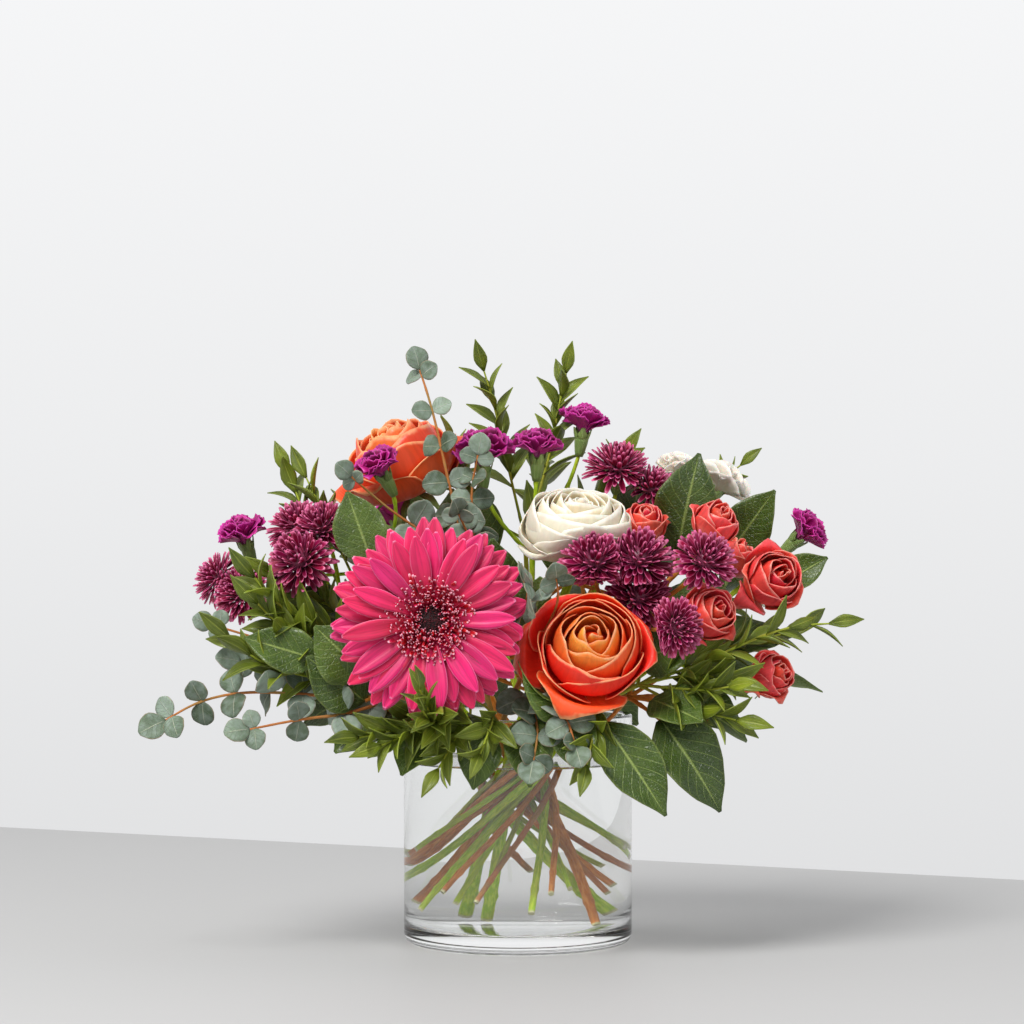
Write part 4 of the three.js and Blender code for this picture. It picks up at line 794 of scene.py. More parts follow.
FINISHES: dict[str, Finish] = {
    "gerbera_pink": PetalFinish("b8083e", "e81c68", "fc90bc", lip=0.88, vein_count=8, spread=0.15,
                                glow=0.14),
    "gerbera_red": PetalFinish("640312", "c80a34", "fbb4c8", turn=0.4, lip=0.88, border=0.1,
                               veins=0.05, vein_count=4, spread=0.3, glow=0.08),
    "gerbera_eye": PetalFinish("140306", "22060a", "6a1c28", lip=0.86, veins=0.0, spread=0.4,
                               roughness=0.7, glow=0.0),
    "orange": PetalFinish("e82a0a", "fa4622", "ffaa78", "ffa040", 0.6, 0.94, veins=0.1,
                          vein_count=18, spread=0.08, roughness=0.48, glow=0.3),
    "apricot": PetalFinish("e02c10", "f4551c", "ffb078", "fa8438", 0.6, 0.92, veins=0.12,
                           vein_count=18, spread=0.08, roughness=0.48, sheen=0.05, glow=0.2),
    # cream: its darker, warmer heart is painted shade in the recesses of the rose
    "cream": PetalFinish("d6c69c", "efe7d2", "f8f4e8", "ecdcb8", lip=0.9, veins=0.06,
                         vein_count=20, spread=0.04, sheen=0.05, glow=0.22),
    # coral: its darker heart is painted shade on the inner petals
    "coral": PetalFinish("fab4a0", "f0504a", "ff968a", "e42e2e", 0.7, 0.95, 0.4, 0.16, 12, 0.12,
                         roughness=0.48, glow=0.25),
    # burgundy: a near-black foot, dark wine quill bases deepened into painted shade for the gaps
    # between quills; a darker heart, painted shade on the inner quills
    "burgundy": PetalFinish("30020f", "9c1046", "e06c9c", "840a38", 0.4, 0.74, 0.7, 0.1, 3, 0.3,
                            roughness=0.42, glow=0.05),
    # magenta: its darker heart is painted shade on the inner petals
    "magenta": PetalFinish("d87cb4", "b0087c", "d434a4", "90065c", turn=0.35, border=0.3,
                           veins=0.25, vein_count=9, spread=0.22, roughness=0.52, sheen=0.05,
                           glow=0.1),
    "white": PetalFinish("d8c8a8", "ebe4d6", "f6f2ea", turn=0.4, lip=0.85, veins=0.05,
                         vein_count=12, spread=0.04, roughness=0.55, sheen=0.05, glow=0.3),
    "eucalyptus": LeafFinish("41543a", "76886c", "a3aa90", "a08868", Veining.FAINT, 0.6, 0.0,
                             side_veins=6, wax=0.55),
    "ruscus": LeafFinish("44580c", "86961c", "b0ba4c", "8c9c30", Veining.PARALLEL, 0.4, 0.15),
    "salal": LeafFinish("334a12", "5e7626", "93a656", "748438", Veining.NETTED, 0.38, 0.15),
    "calyx": LeafFinish("5c8034", "98b45c", "c4d494", "6c8438", Veining.PARALLEL, 0.45, 0.1),
    "green_stem": StemFinish("9ac818", "dcee50", "b08c3c"),
    "woody_stem": StemFinish("cc742a", "eca858", "8c5428", bark=0.55, roughness=0.6),
    "red_twig": StemFinish("bc6c34", "c88c58", "8a8c50", bark=0.5, roughness=0.55),
    "leaf_stem": StemFinish("98a82c", "c4cc5c", "b47c38"),
    "glass": ClearFinish((0.985, 0.995, 0.99, 1), 1.5, 18.0),
    "water": ClearFinish((0.99, 0.995, 0.99, 1), 1.333, 40.0),
    "floor": FloorFinish("bebebe"),
}


@cache
def finished(name: str) -> Material:
    """The material of a finish, made once."""
    return FINISHES[name].build(name)


# ---- meshes from sheets


class Sheet(NamedTuple):
    """One petal or leaf as a grid of places, rows along it and columns across it, in metres.

    tone is a random share that tells petals apart, and rank runs from the heart out.
    """

    grid: np.ndarray
    tone: float = 0.5
    rank: float = 1.0


def set_layer(mesh: Mesh, label: str, values: np.ndarray) -> None:
    """Gives a mesh's points an attribute: numbers, or vectors where each has three parts."""
    kind, key = ("FLOAT_VECTOR", "vector") if values.ndim > 1 else ("FLOAT", "value")
    mesh.attributes.new(label, kind, "POINT").data.foreach_set(key, values.ravel())


def new_mesh(points: Iterable = (), edges: Iterable = (), faces: Iterable = (),
             uvs: np.ndarray | None = None, **layers: np.ndarray) -> Mesh:
    """A mesh of given points, edges and faces.

    Args:
        points: its points, in metres.
        edges: its edges, as pairs of points.
        faces: its faces, as rows of points.
        uvs: the UV map, a row for each corner of a face.
        **layers: the values of each of its points' attributes.

    Returns:
        The mesh.
    """
    mesh = bpy.data.meshes.new("mesh")
    mesh.from_pydata(list(points), list(edges), list(faces))
    if uvs is not None:
        mesh.uv_layers.new(name="UVMap").data.foreach_set("uv", uvs.ravel())
    for label, values in layers.items():
        set_layer(mesh, label, values)
    return mesh


def mesh_of(sheets: Sequence[Sheet]) -> Mesh:
    """Makes one mesh of many sheets, with a UV map and the attributes tone and rank."""
    faces, corners, start = [], [], 0
    for grid, _, _ in sheets:
        rows, columns = grid.shape[:2]
        ids = np.arange(rows * columns).reshape(rows, columns)
        quads = np.stack([ids[:-1, :-1], ids[:-1, 1:], ids[1:, 1:], ids[1:, :-1]], axis=-1)
        places = np.meshgrid(np.linspace(0, 1, columns), np.linspace(0, 1, rows))
        corners.append(np.stack(places, axis=-1).reshape(-1, 2)[quads.ravel()])
        faces.extend((quads.reshape(-1, 4) + start).tolist())
        start += rows * columns
    sizes = [sheet.grid.size // 3 for sheet in sheets]
    return new_mesh(
        np.concatenate([sheet.grid.reshape(-1, 3) for sheet in sheets]).tolist(), (), faces,
        np.concatenate(corners), tone=np.repeat([sheet.tone for sheet in sheets], sizes),
        rank=np.repeat([sheet.rank for sheet in sheets], sizes))


def moved(mesh: Mesh, way: Callable[[np.ndarray], np.ndarray]) -> Mesh:
    """Puts a mesh's vertices where a function takes their places, in millimetres."""
    flat = np.empty(len(mesh.vertices) * 3)
    mesh.vertices.foreach_get("co", flat)
    mesh.vertices.foreach_set("co", (way(flat.reshape(-1, 3) / MM) * MM).ravel())
    mesh.update()
    return mesh


def shown(name: str, data: bpy.types.ID) -> Thing:
    """Puts a mesh, a lamp or a camera in the scene as an object."""
    thing = bpy.data.objects.new(name, data)
    bpy.context.scene.collection.objects.link(thing)
    return thing


def joined(meshes: Sequence[Mesh]) -> Mesh:
    """Joins meshes, with their attributes and materials, into one."""
    if len(meshes) == 1:
        return meshes[0]
    holders = [shown("part", mesh) for mesh in meshes]
    with bpy.context.temp_override(active_object=holders[0], object=holders[0],
                                   selected_objects=holders, selected_editable_objects=holders):
        bpy.ops.object.join()
    mesh = holders[0].data
    bpy.data.objects.remove(holders[0])
    return mesh


def dressed(mesh: Mesh, finish: str) -> Mesh:
    """Gives a whole mesh one finish and smooth shading."""
    mesh.materials.clear()
    mesh.materials.append(finished(finish))
    mesh.shade_smooth()
    return mesh


def plain(holder: Thing) -> Mesh:
    """Turns an object with modifiers into the plain mesh that they make, and removes it."""
    graph = bpy.context.evaluated_depsgraph_get()
    mesh = bpy.data.meshes.new_from_object(holder.evaluated_get(graph))
    bpy.data.objects.remove(holder)
    return mesh


def thickened(mesh: Mesh, thickness: float, finish: str) -> Mesh:
    """Gives a sheet a thickness in millimetres, so that it is closed, and dresses it."""
    holder = shown("sheet", mesh)
    wall = holder.modifiers.new("thickness", "SOLIDIFY")
    wall.thickness, wall.offset = thickness * MM, 0
    return dressed(plain(holder), finish)


def piece(name: str, mesh: Mesh, slot: str, *nodes: str) -> Thing:
    """Puts a finished mesh in the scene as a piece that stands for some of the frame's nodes."""
    thing = shown(name, mesh)
    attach(thing, "root")
    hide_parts(*nodes)
    log.info("%s: %d faces", name, len(mesh.polygons))
    return thing


# ---- growing by rule


class Rule:
    """A Geometry Nodes tree with named inputs, run on a mesh to give a plain one.

    Every rule has the inputs Shapes, Seed and Material, and the numbers that it lists with
    their defaults.
    """

    numbers: dict[str, float] = {}

    def __init__(self) -> None:
        """Builds the tree: its inputs, its body, and a last step that realizes and dresses."""
        self.name = type(self).__name__
        tree = self.tree = bpy.data.node_groups.new(self.name, "GeometryNodeTree")
        for label in ("Geometry", "Shapes", "Material", "Seed", *self.numbers):
            default = self.numbers.get(label, 1)
            kind = {"Geometry": "Geometry", "Shapes": "Collection", "Material": "Material"}.get(
                label, "Int" if isinstance(default, int) else "Float")
            socket = tree.interface.new_socket(label, in_out="INPUT", socket_type="NodeSocket" + kind)
            if kind in ("Int", "Float"):
                socket.default_value = default
        tree.interface.new_socket("Geometry", in_out="OUTPUT", socket_type="NodeSocketGeometry")
        self.wiring = Wiring(tree)
        self.given = {socket.name: Value(self.wiring, socket)
                      for socket in tree.nodes.new("NodeGroupInput").outputs}
        real = self.wiring.add("GeometryNodeRealizeInstances", {"Geometry": self.body()})
        last = self.wiring.add("GeometryNodeSetMaterial",
                               {"Geometry": real, "Material": self.given["Material"]})
        self.wiring.put(tree.nodes.new("NodeGroupOutput").inputs[0], last)

    def body(self) -> Value:
        """Builds what the rule does, and gives its geometry."""
        raise NotImplementedError

    def chance(self, low: float, high: float, salt: int) -> Value:
        """A random number between two limits, from the Seed input and a salt of its own."""
        seed = self.given["Seed"] + float(salt)
        return self.wiring.add("FunctionNodeRandomValue", {"Min": low, "Max": high, "Seed": seed},
                                 data_type="FLOAT")

    def jitter(self, label: str, salt: int) -> Value:
        """A random number on both sides of nought, as large as an input says."""
        return self.chance(-1.0, 1.0, salt) * self.given[label]

    def named(self, label: str, kind: str = "FLOAT") -> Value:
        """An attribute that the geometry holds."""
        return self.wiring.add("GeometryNodeInputNamedAttribute", {"Name": label}, data_type=kind)

    def keep(self, geometry: object, label: str, value: object, domain: str) -> Value:
        """Stores a number on the geometry under a name."""
        return self.wiring.add("GeometryNodeStoreNamedAttribute",
                               {"Geometry": geometry, "Name": label, "Value": value},
                               data_type="FLOAT", domain=domain)

    def picked(self, points: object, turn: object, size: object) -> Value:
        """Instances of the members of the Shapes collection, one picked at random for each."""
        shapes = self.wiring.add("GeometryNodeCollectionInfo", {
            "Collection": self.given["Shapes"], "Separate Children": True, "Reset Children": True})
        return self.wiring.add("GeometryNodeInstanceOnPoints", {
            "Points": points, "Instance": shapes, "Pick Instance": True,
            "Instance Index": self.chance(0.0, 60.0, 5), "Rotation": turn, "Scale": size})

    def run(self, base: Mesh, **values: object) -> Mesh:
        """Runs the rule.

        Args:
            base: the mesh that it starts from.
            **values: its inputs, by their names.

        Returns:
            The plain mesh that it makes.
        """
        holder = shown("holder", base)
        modifier = holder.modifiers.new(self.name, "NODES")
        modifier.node_group = self.tree
        for label, value in values.items():
            modifier[self.tree.interface.items_tree[label].identifier] = value
        return plain(holder)


class Rosette(Rule):
    """Petals round an axis: each a step of angle on from the last, and further out."""

    numbers = {
        "Count": 20, "Turn": GOLDEN, "Start": 0.0, "Tilt In": 0.2, "Tilt Out": 1.5,
        "Reach In": 0.0, "Reach Out": 0.005, "Height In": 0.0, "Height Out": 0.0,
        "Size In": 0.01, "Size Out": 0.01, "Core": 0.0,
        "Angle Jitter": 0.05, "Tilt Jitter": 0.05, "Size Jitter": 0.06,
    }

    def body(self) -> Value:
        """Places petal after petal, and keeps each one's tone and rank."""
        w, given = self.wiring, self.given
        line = w.add("GeometryNodeMeshLine", {"Count": given["Count"], "Offset": (0, 0, 0)})
        index = w.add("GeometryNodeInputIndex")
        share = index / (given["Count"] - 1.0).sum("MAXIMUM", 1.0)
        angle = index * given["Turn"] + given["Start"] + self.jitter("Angle Jitter", 1)
        rise = w.blend(share, given["Tilt In"].sum("COSINE"), given["Tilt Out"].sum("COSINE"))
        lean = rise.sum("ARCCOSINE")
        reach = (w.blend(share.sum("SQRT"), given["Reach In"], given["Reach Out"])
                 + given["Core"] * lean.sum("SINE"))
        height = w.blend(share, given["Height In"], given["Height Out"]) + given["Core"] * rise
        place = w.vector(reach * angle.sum("COSINE"), reach * angle.sum("SINE"), height)
        points = w.add("GeometryNodeSetPosition", {"Geometry": line, "Position": place})
        tilt = lean + self.jitter("Tilt Jitter", 2) - math.pi / 2
        turn = w.add("FunctionNodeEulerToRotation",
                     {"Euler": w.vector(self.jitter("Tilt Jitter", 3), tilt, angle)})
        size = (w.blend(share, given["Size In"], given["Size Out"])
                * (self.jitter("Size Jitter", 4) + 1.0))
        petals = self.picked(points, turn, size)
        toned = self.keep(petals, "tone", self.chance(0.0, 1.0, 6), "INSTANCE")
        return self.keep(toned, "rank", share, "INSTANCE")


class LeafRow(Rule):
    """A leaf on every point, along its aim and with its upper side to its face."""

    numbers = {"Scale": 1.0, "Roll": 0.12}

    def body(self) -> Value:
        """Turns each leaf to its point's aim and face, and keeps its tone."""
        w = self.wiring
        turn = w.add("FunctionNodeAlignRotationToVector",
                     {"Vector": self.named("aim", "FLOAT_VECTOR")}, axis="X")
        turn = w.add("FunctionNodeAlignRotationToVector",
                     {"Rotation": turn, "Vector": self.named("face", "FLOAT_VECTOR")},
                     axis="Z", pivot_axis="X")
        roll = w.add("FunctionNodeEulerToRotation", {"Euler": w.vector(self.jitter("Roll", 1))})
        turn = w.add("FunctionNodeRotateRotation", {"Rotation": turn, "Rotate By": roll},
                     rotation_space="LOCAL")
        leaves = self.picked(self.given["Geometry"], turn, self.named("size") * self.given["Scale"])
        return self.keep(leaves, "tone", self.chance(0.0, 1.0, 2), "INSTANCE")


class Tube(Rule):
    """A round stem along every line of points, with the radius that its points hold."""

    numbers = {"Sides": 12, "Step": 0.003, "Unevenness": 0.04, "Knot Spacing": 0.031,
               "Knot Size": 0.26}

    def body(self) -> Value:
        """Sweeps a circle along each line, and keeps the places along and around."""
        w, given = self.wiring, self.given
        line = w.add("GeometryNodeMeshToCurve", {"Mesh": given["Geometry"]})
        even = w.add("GeometryNodeResampleCurve", {"Curve": line, "Length": given["Step"]},
                     mode="LENGTH")
        length = w.add("GeometryNodeSplineParameter", output="Length")
        marked = self.keep(even, "along", length, "POINT")
        bulge = w.blend(self.chance(0.0, 1.0, 1), 1.0 - given["Unevenness"],
                        given["Unevenness"] + 1.0)
        knot = (length / given["Knot Spacing"]).sum("PINGPONG", 0.5).between(0.44, 0.5)
        thick = self.named("radius") * (knot * given["Knot Size"] + bulge)
        circle = w.add("GeometryNodeCurvePrimitiveCircle",
                       {"Resolution": given["Sides"], "Radius": 1.0})
        factor = w.add("GeometryNodeSplineParameter", output="Factor")
        ring = self.keep(circle, "around", factor, "POINT")
        swept = w.add("GeometryNodeCurveToMesh", {"Curve": marked, "Profile Curve": ring,
                                                  "Scale": thick, "Fill Caps": True})
        return w.add("GeometryNodeSetShadeSmooth", {"Geometry": swept})


@cache
def rule(kind: type[Rule]) -> Rule:
    """The rule of a kind, built once."""
    return kind()


@contextmanager
def shapes(*grids: np.ndarray) -> Iterator[bpy.types.Collection]:
    """A collection of petal or leaf shapes for a rule to pick from, removed after its use.

    Args:
        *grids: the shapes, of unit length along +X with their upper sides to +Z.

    Yields:
        The collection.
    """
    found = bpy.data.collections.new("shapes")
    bpy.context.scene.collection.children.link(found)
    for index, grid in enumerate(grids):
        mesh = mesh_of([Sheet(grid)])
        for label in ("tone", "rank"):
            mesh.attributes.remove(mesh.attributes[label])
        found.objects.link(bpy.data.objects.new(f"shape_{index}", mesh))
    yield found
    for thing in list(found.objects):
        bpy.data.objects.remove(thing)
    bpy.data.collections.remove(found)


# ---- petals and leaves as grids


def grid_of(rows: int, columns: int, ease: float = 1.0) -> tuple[np.ndarray, np.ndarray]:
    """Shares across (-1 to 1) and along (0 to 1) a sheet, closer together at its tip."""
    along = 1 - (1 - np.linspace(0, 1, rows)) ** ease
    return tuple(np.meshgrid(np.linspace(-1, 1, columns), along))


def space(x: np.ndarray, y: np.ndarray, z: np.ndarray) -> np.ndarray:
    """A grid of places from its three coordinates."""
    return np.stack([x, y, z], axis=-1)


def smooth_widths(along: np.ndarray, *stops: Pair) -> np.ndarray:
    """Half widths at shares along a sheet, eased between given stops."""
    fine = np.linspace(0, 1, 101)
    row = np.interp(fine, *zip(*stops))
    kernel = np.hanning(15)
    padded = np.pad(row, 7, mode="edge")
    return np.interp(along, fine, np.convolve(padded, kernel / kernel.sum(), "valid"))


def ray_petal(width: float, arch: float, droop: float, lean: float) -> np.ndarray:
    """A gerbera's ray: a long ellipse with two soft grooves.

    Args:
        width: its widest, as a share of its length.
        arch: how far its middle rises.
        droop: how far its tip sinks.
        lean: how far its tip turns aside.

    Returns:
        The grid.
    """
    across, along = grid_of(12, 7, 1.7)
    half = width / 2 * smooth_widths(
        along, (0, 0.34), (0.3, 0.66), (0.6, 1.0), (0.8, 0.86), (0.93, 0.5), (1, 0.06))
    rise = arch * np.sin(math.pi * along) - droop * along**2
    groove = half * (0.22 * across**2 - 0.1 * np.cos(2 * math.pi * across))
    return space(along, across * half + lean * along**2, rise + groove)


def strap_petal(width: float, curl: float, cup: float, point: float, rows: int) -> np.ndarray:
    """A thin floret, quill or sepal that curls up along its length.

    Args:
        width: its width, as a share of its length.
        curl: the angle, in radians, through which it bends upward.
        cup: how deep its cross-section is.
        point: how pointed its tip is.
        rows: places along it.

    Returns:
        The grid.
    """
    across, along = grid_of(rows, 3)
    half = width / 2 * smooth_widths(along, (0, 0.5), (0.5, 1), (0.85, 1 - 0.4 * point), (1, 0.35))
    angle, lift = curl * along, cup * half * across**2
    return space((1 / curl - lift) * np.sin(angle), across * half,
                 (1 - np.cos(angle)) / curl + np.cos(angle) * lift)


def fan_petal(width: float, teeth: float, wave: float, curl: float, phase: float) -> np.ndarray:
    """A carnation's petal: a thin claw that opens to a fan.

    Args:
        width: its width, as a share of its length.
        teeth: how deep its rim is cut.
        wave: how strongly it is ruffled.
        curl: the angle, in radians, through which it closes over the heart.
        phase: where its ruffles start.

    Returns:
        The grid.
    """
    across, along = grid_of(9, 13)
    half = width / 2 * smooth_widths(along, (0, 0.1), (0.35, 0.24), (0.66, 0.8), (1, 1.0))
    saw = teeth * np.where(np.arange(13) % 2, -1.0, 1.0)
    reach = along * (1 - 0.2 * across**2) + saw * np.clip(along - 0.72, 0, 1) * 3
    ripple = np.sin(4.4 * across + phase) + 0.5 * np.sin(9.5 * across + 2.1 * phase)
    bow = 0.14 * np.sin(math.pi * along) - 0.08 * along**3 * math.cos(phase)
    rise = wave * along**3 * ripple + bow
    angle = curl * np.clip(reach - 0.25, 0, 2) ** 1.5
    return space(reach * np.cos(angle * 0.6) - rise * np.sin(angle), across * half,
                 rise * np.cos(angle) + reach * np.sin(angle * 0.6))


class LeafShape(NamedTuple):
    """The form of a leaf of unit length: how it folds and bends, and its half widths along it."""

    width: float
    fold: float
    bow: float
    wave: float
    rows: int
    columns: int
    stops: tuple[Pair, ...]

    def grid(self, rng: random.Random) -> np.ndarray:
        """One leaf of the form, bent, twisted and waved at random."""
        bend, twist, phase = rng.uniform(-0.08, 0.12), rng.uniform(-0.4, 0.4), rng.uniform(0, 6)
        across, along = grid_of(self.rows, self.columns, 1.25)
        half = self.width / 2 * smooth_widths(along, *self.stops)
        rise = self.fold * half * np.abs(across) ** 1.4
        rise += self.wave * half * across**2 * np.sin(9 * along + phase + across)
        turn, side = twist * (along - 0.2), across * half
        bowed = (self.bow + bend) * (np.sin(math.pi * along * 0.8) * 0.5 - along**2 * 0.6)
        return space(along, side * np.cos(turn) - rise * np.sin(turn),
                     side * np.sin(turn) + rise * np.cos(turn) + bowed)


LEAF_SHAPES = {
    Habitus.ROUND: LeafShape(0.98, 0.12, 0.1, 0.06, 10, 7, (
        (0, 0.05), (0.05, 0.07), (0.14, 0.62), (0.35, 0.96), (0.55, 1), (0.78, 0.84), (0.93, 0.45),
        (1, 0.1))),
    Habitus.NARROW: LeafShape(0.4, 0.4, 0.12, 0.0, 9, 5, (
        (0, 0.12), (0.12, 0.42), (0.35, 0.96), (0.5, 1), (0.75, 0.62), (0.93, 0.18), (1, 0.03))),
    Habitus.BROAD: LeafShape(1.0, 0.2, 0.12, 0.1, 16, 9, (
        (0, 0.1), (0.04, 0.3), (0.16, 0.74), (0.36, 1), (0.6, 0.9), (0.8, 0.56), (0.92, 0.22),
        (1, 0.03))),
}


def lathe(profile: Profile, sides: int, repeats: int = 1) -> Mesh:
    """A closed turned form about +Z, in metres.

    Args:
        profile: radius and height from the lowest pole to the highest, in millimetres.
        sides: how many sides it has.
        repeats: how many times its UV map runs round it.

    Returns:
        The mesh.
    """
    points, rows, uvs, faces = [], [], [], []
    for radius, height in profile:
        count = sides if radius > 1e-6 else 1
        rows.append([len(points) + step % count for step in range(sides + 1)])
        points.extend(Vector((radius * math.cos(angle), radius * math.sin(angle), height)) * MM
                      for angle in (math.tau * step / sides for step in range(count)))
    last = len(profile) - 1
    for level, (low, high) in enumerate(zip(rows, rows[1:])):
        for step in range(sides):
            left = step * repeats / sides % 1
            right, below, above = left + repeats / sides, level / last, (level + 1) / last
            ring = [(low[step], left, below), (low[step + 1], right, below),
                    (high[step + 1], right, above), (high[step], left, above)]
            kept = [corner for index, corner in enumerate(ring) if corner[0] != ring[index - 1][0]]
            faces.append([corner[0] for corner in kept])
            uvs.extend(corner[1:] for corner in kept)
    half = np.full(len(points), 0.5)
    return new_mesh(points, (), faces, np.array(uvs), tone=half, rank=half)


# ---- blooms


class Whorl(NamedTuple):
    """Petals, florets or sepals round an axis, from the first to the last, in millimetres."""

    count: int
    turn: float  # from one to the next, in radians, where nought spaces them evenly
    tilt: Pair  # how far they lean off the axis, in degrees
    reach: Pair  # how far from the axis they start
    height: Pair
    size: Pair
    jitter: Point = (0.05, 0.05, 0.06)  # how uneven the angle, the tilt and the size are
    start: float = 0.0  # the angle of the first, in radians
    core: float = 0.0  # the radius of the ball that they stand on


class Flower:
    """A bloom under construction in its own frame, seat at the origin and facing +Z."""

    def __init__(self, name: str) -> None:
        """Takes the bloom's name in the plan."""
        self.name, self.plan = name, BLOOMS[name]
        self.radius = self.plan.radius
        self.rng = random.Random(sum(ord(letter) * (index + 3) for index, letter in enumerate(name)))

    def grown(self, found: bpy.types.Collection, finish: str, whorl: Whorl) -> Mesh:
        """A whorl of petals of given shapes and finish, in the bloom's own frame."""
        values = dict(zip(("Angle Jitter", "Tilt Jitter", "Size Jitter"), whorl.jitter))
        for label, ends, unit in (("Tilt", whorl.tilt, math.pi / 180), ("Reach", whorl.reach, MM),
                                  ("Height", whorl.height, MM), ("Size", whorl.size, MM)):
            values |= {f"{label} In": ends[0] * unit, f"{label} Out": ends[1] * unit}
        return rule(Rosette).run(
            new_mesh(), Shapes=found, Material=finished(finish), Seed=self.rng.randrange(1000),
            Count=whorl.count, Turn=whorl.turn or math.tau / whorl.count, Start=whorl.start,
            Core=whorl.core * MM, **values)

    def placed(self, mesh: Mesh, press: bool = False) -> Mesh:
        """Carries a mesh to the bloom's place, and keeps it off the bloom's neighbours."""
        mesh.transform(self.plan.pose())
        return moved(mesh, partial(Rooms.press, self.plan)) if press else mesh

    def petals(self, mesh: Mesh, thickness: float, finish: str) -> Mesh:
        """Places, thickens and dresses petals."""
        return thickened(self.placed(mesh, True), thickness, finish)

    def turned(self, profile: Profile, sides: int, finish: str, repeats: int = 1) -> Mesh:
        """Places and dresses a turned part of the bloom."""
        return dressed(self.placed(lathe(profile, sides, repeats)), finish)


class Gerbera(Flower):
    """The hot pink gerbera: three whorls of rays, a ring of thin florets and a dark eye."""

    # each whorl's count, tilt, height, length and first angle
    RAYS = ((25, 77, 3.8, 0.9, 0.0), (26, 83, 2.8, 0.97, 0.12), (27, 89, 1.4, 1.02, 0.07))
    RAY_SHAPES = ((0.27, 0.05, 0.02, 0.02), (0.29, 0.02, 0.06, -0.03), (0.25, 0.07, -0.03, 0.04),
                  (0.27, 0.0, 0.1, 0.0), (0.26, 0.04, 0.05, -0.05))
    RAY_START = 5.5
    # each ring's count, tilts, start and length
    FLORETS = ((130, 72, 86, 12.5, 14.5), (130, 62, 78, 11.5, 13), (122, 48, 68, 10.5, 11.5),
               (110, 34, 54, 9.3, 9.5), (90, 18, 40, 8.2, 7.5), (64, 6, 24, 7.2, 5.5))
    CURLS = (0.9, 1.5, 0.5, 1.2, 0.2, 0.8)
    DISC = ((0, 0.6), (12, 0.6), (15, 1.6), (15, 2.8), (11, 4.2), (6, 4.6), (0, 4.6))
    EYE = Whorl(260, GOLDEN, (5.73, 63.03), (0.2, 6.8), (7.6, 6.0), (1.3, 2.3), (0.3, 0.3, 0.3))
    DOME = ((0, 4.4), (6.6, 4.4), (7.4, 5.2), (7, 6.4), (5, 7.4), (2.5, 8.0), (0, 8.2))

    def part(self, name: str, node: str, finish: str, thickness: float, grids: Iterable[np.ndarray],
             whorls: Iterable[Whorl], core: Profile = (), sides: int = 0) -> None:
        """Makes one piece.

        Args:
            name: its name.
            node: the node that it stands for.
            finish: its finish.
            thickness: how thick its petals are.
            grids: the shapes of its petals.
            whorls: how they are set.
            core: the turned form that they stand on, where it has one.
            sides: how many sides that form has.
        """
        with shapes(*grids) as found:
            petals = joined([self.grown(found, finish, whorl) for whorl in whorls])
        meshes = [self.petals(petals, thickness, finish)]
        if core:
            meshes.append(self.turned(core, sides, finish))
        piece(name, joined(meshes), finish, node)

    def build(self) -> None:
        """Makes the rays, the ring of thin curled florets on its disc, and the dark eye."""
        start, long = self.RAY_START, self.radius - self.RAY_START
        self.part(
            "gerbera_ray_petals", "gerbera_rays", "gerbera_pink", 0.55,
            (ray_petal(*form) for form in self.RAY_SHAPES),
            (Whorl(count, 0, (tilt, tilt + 0.005), (start, start), (level, level),
                   (long * size, long * size), (0.06, 0.07, 0.05), offset)
             for count, tilt, level, size, offset in self.RAYS))
        self.part(
            "gerbera_floret_ring", "gerbera_ring", "gerbera_red", 0.4,
            (strap_petal(0.15, curl, 0.5, 0.5, 6) for curl in self.CURLS),
            (Whorl(count, 0, (low, high), (reach, reach), (4.2, 3.6), (size * 0.85, size),
                   (0.09, 0.24, 0.2), 0.3 * reach)
             for count, low, high, reach, size in self.FLORETS), self.DISC, 40)
        self.part("gerbera_heart", "gerbera_eye", "gerbera_eye", 0.3,
                  (strap_petal(0.5, curl, 0.5, 1.0, 4) for curl in (0.5, 0.9, 0.2)),
                  [self.EYE], self.DOME, 32)


@dataclass(frozen=True)
class RoseForm:
    """How a rose is built up: its petals, how tall and open it is, and how its rims turn."""

    petals: int
    height: float  # of its petals, in radii
    reflex: float  # how far its outer rims turn back
    point: float  # how pointed its petals' tips are
    ruffle: float
    heart: float  # how far out its closed petals reach, in radii
    outer: float  # the share of its petals after which they open
    droop: float  # how much lower its outermost rims are
    rows: int = 12
    columns: int = 13


class RoseForms(Enum):
    """The roses of the bouquet."""

    FRONT = RoseForm(24, 0.96, 0.4, 0.18, 0.02, 0.55, 0.58, 0.4)
    BACK = RoseForm(26, 1.0, 0.36, 0.18, 0.024, 0.55, 0.6, 0.3)
    WHITE = RoseForm(34, 0.98, 0.34, 0.0, 0.03, 0.7, 0.62, 0.62)
    SPRAY = RoseForm(17, 1.4, 0.42, 0.24, 0.035, 0.58, 0.5, 0.3, 9, 9)


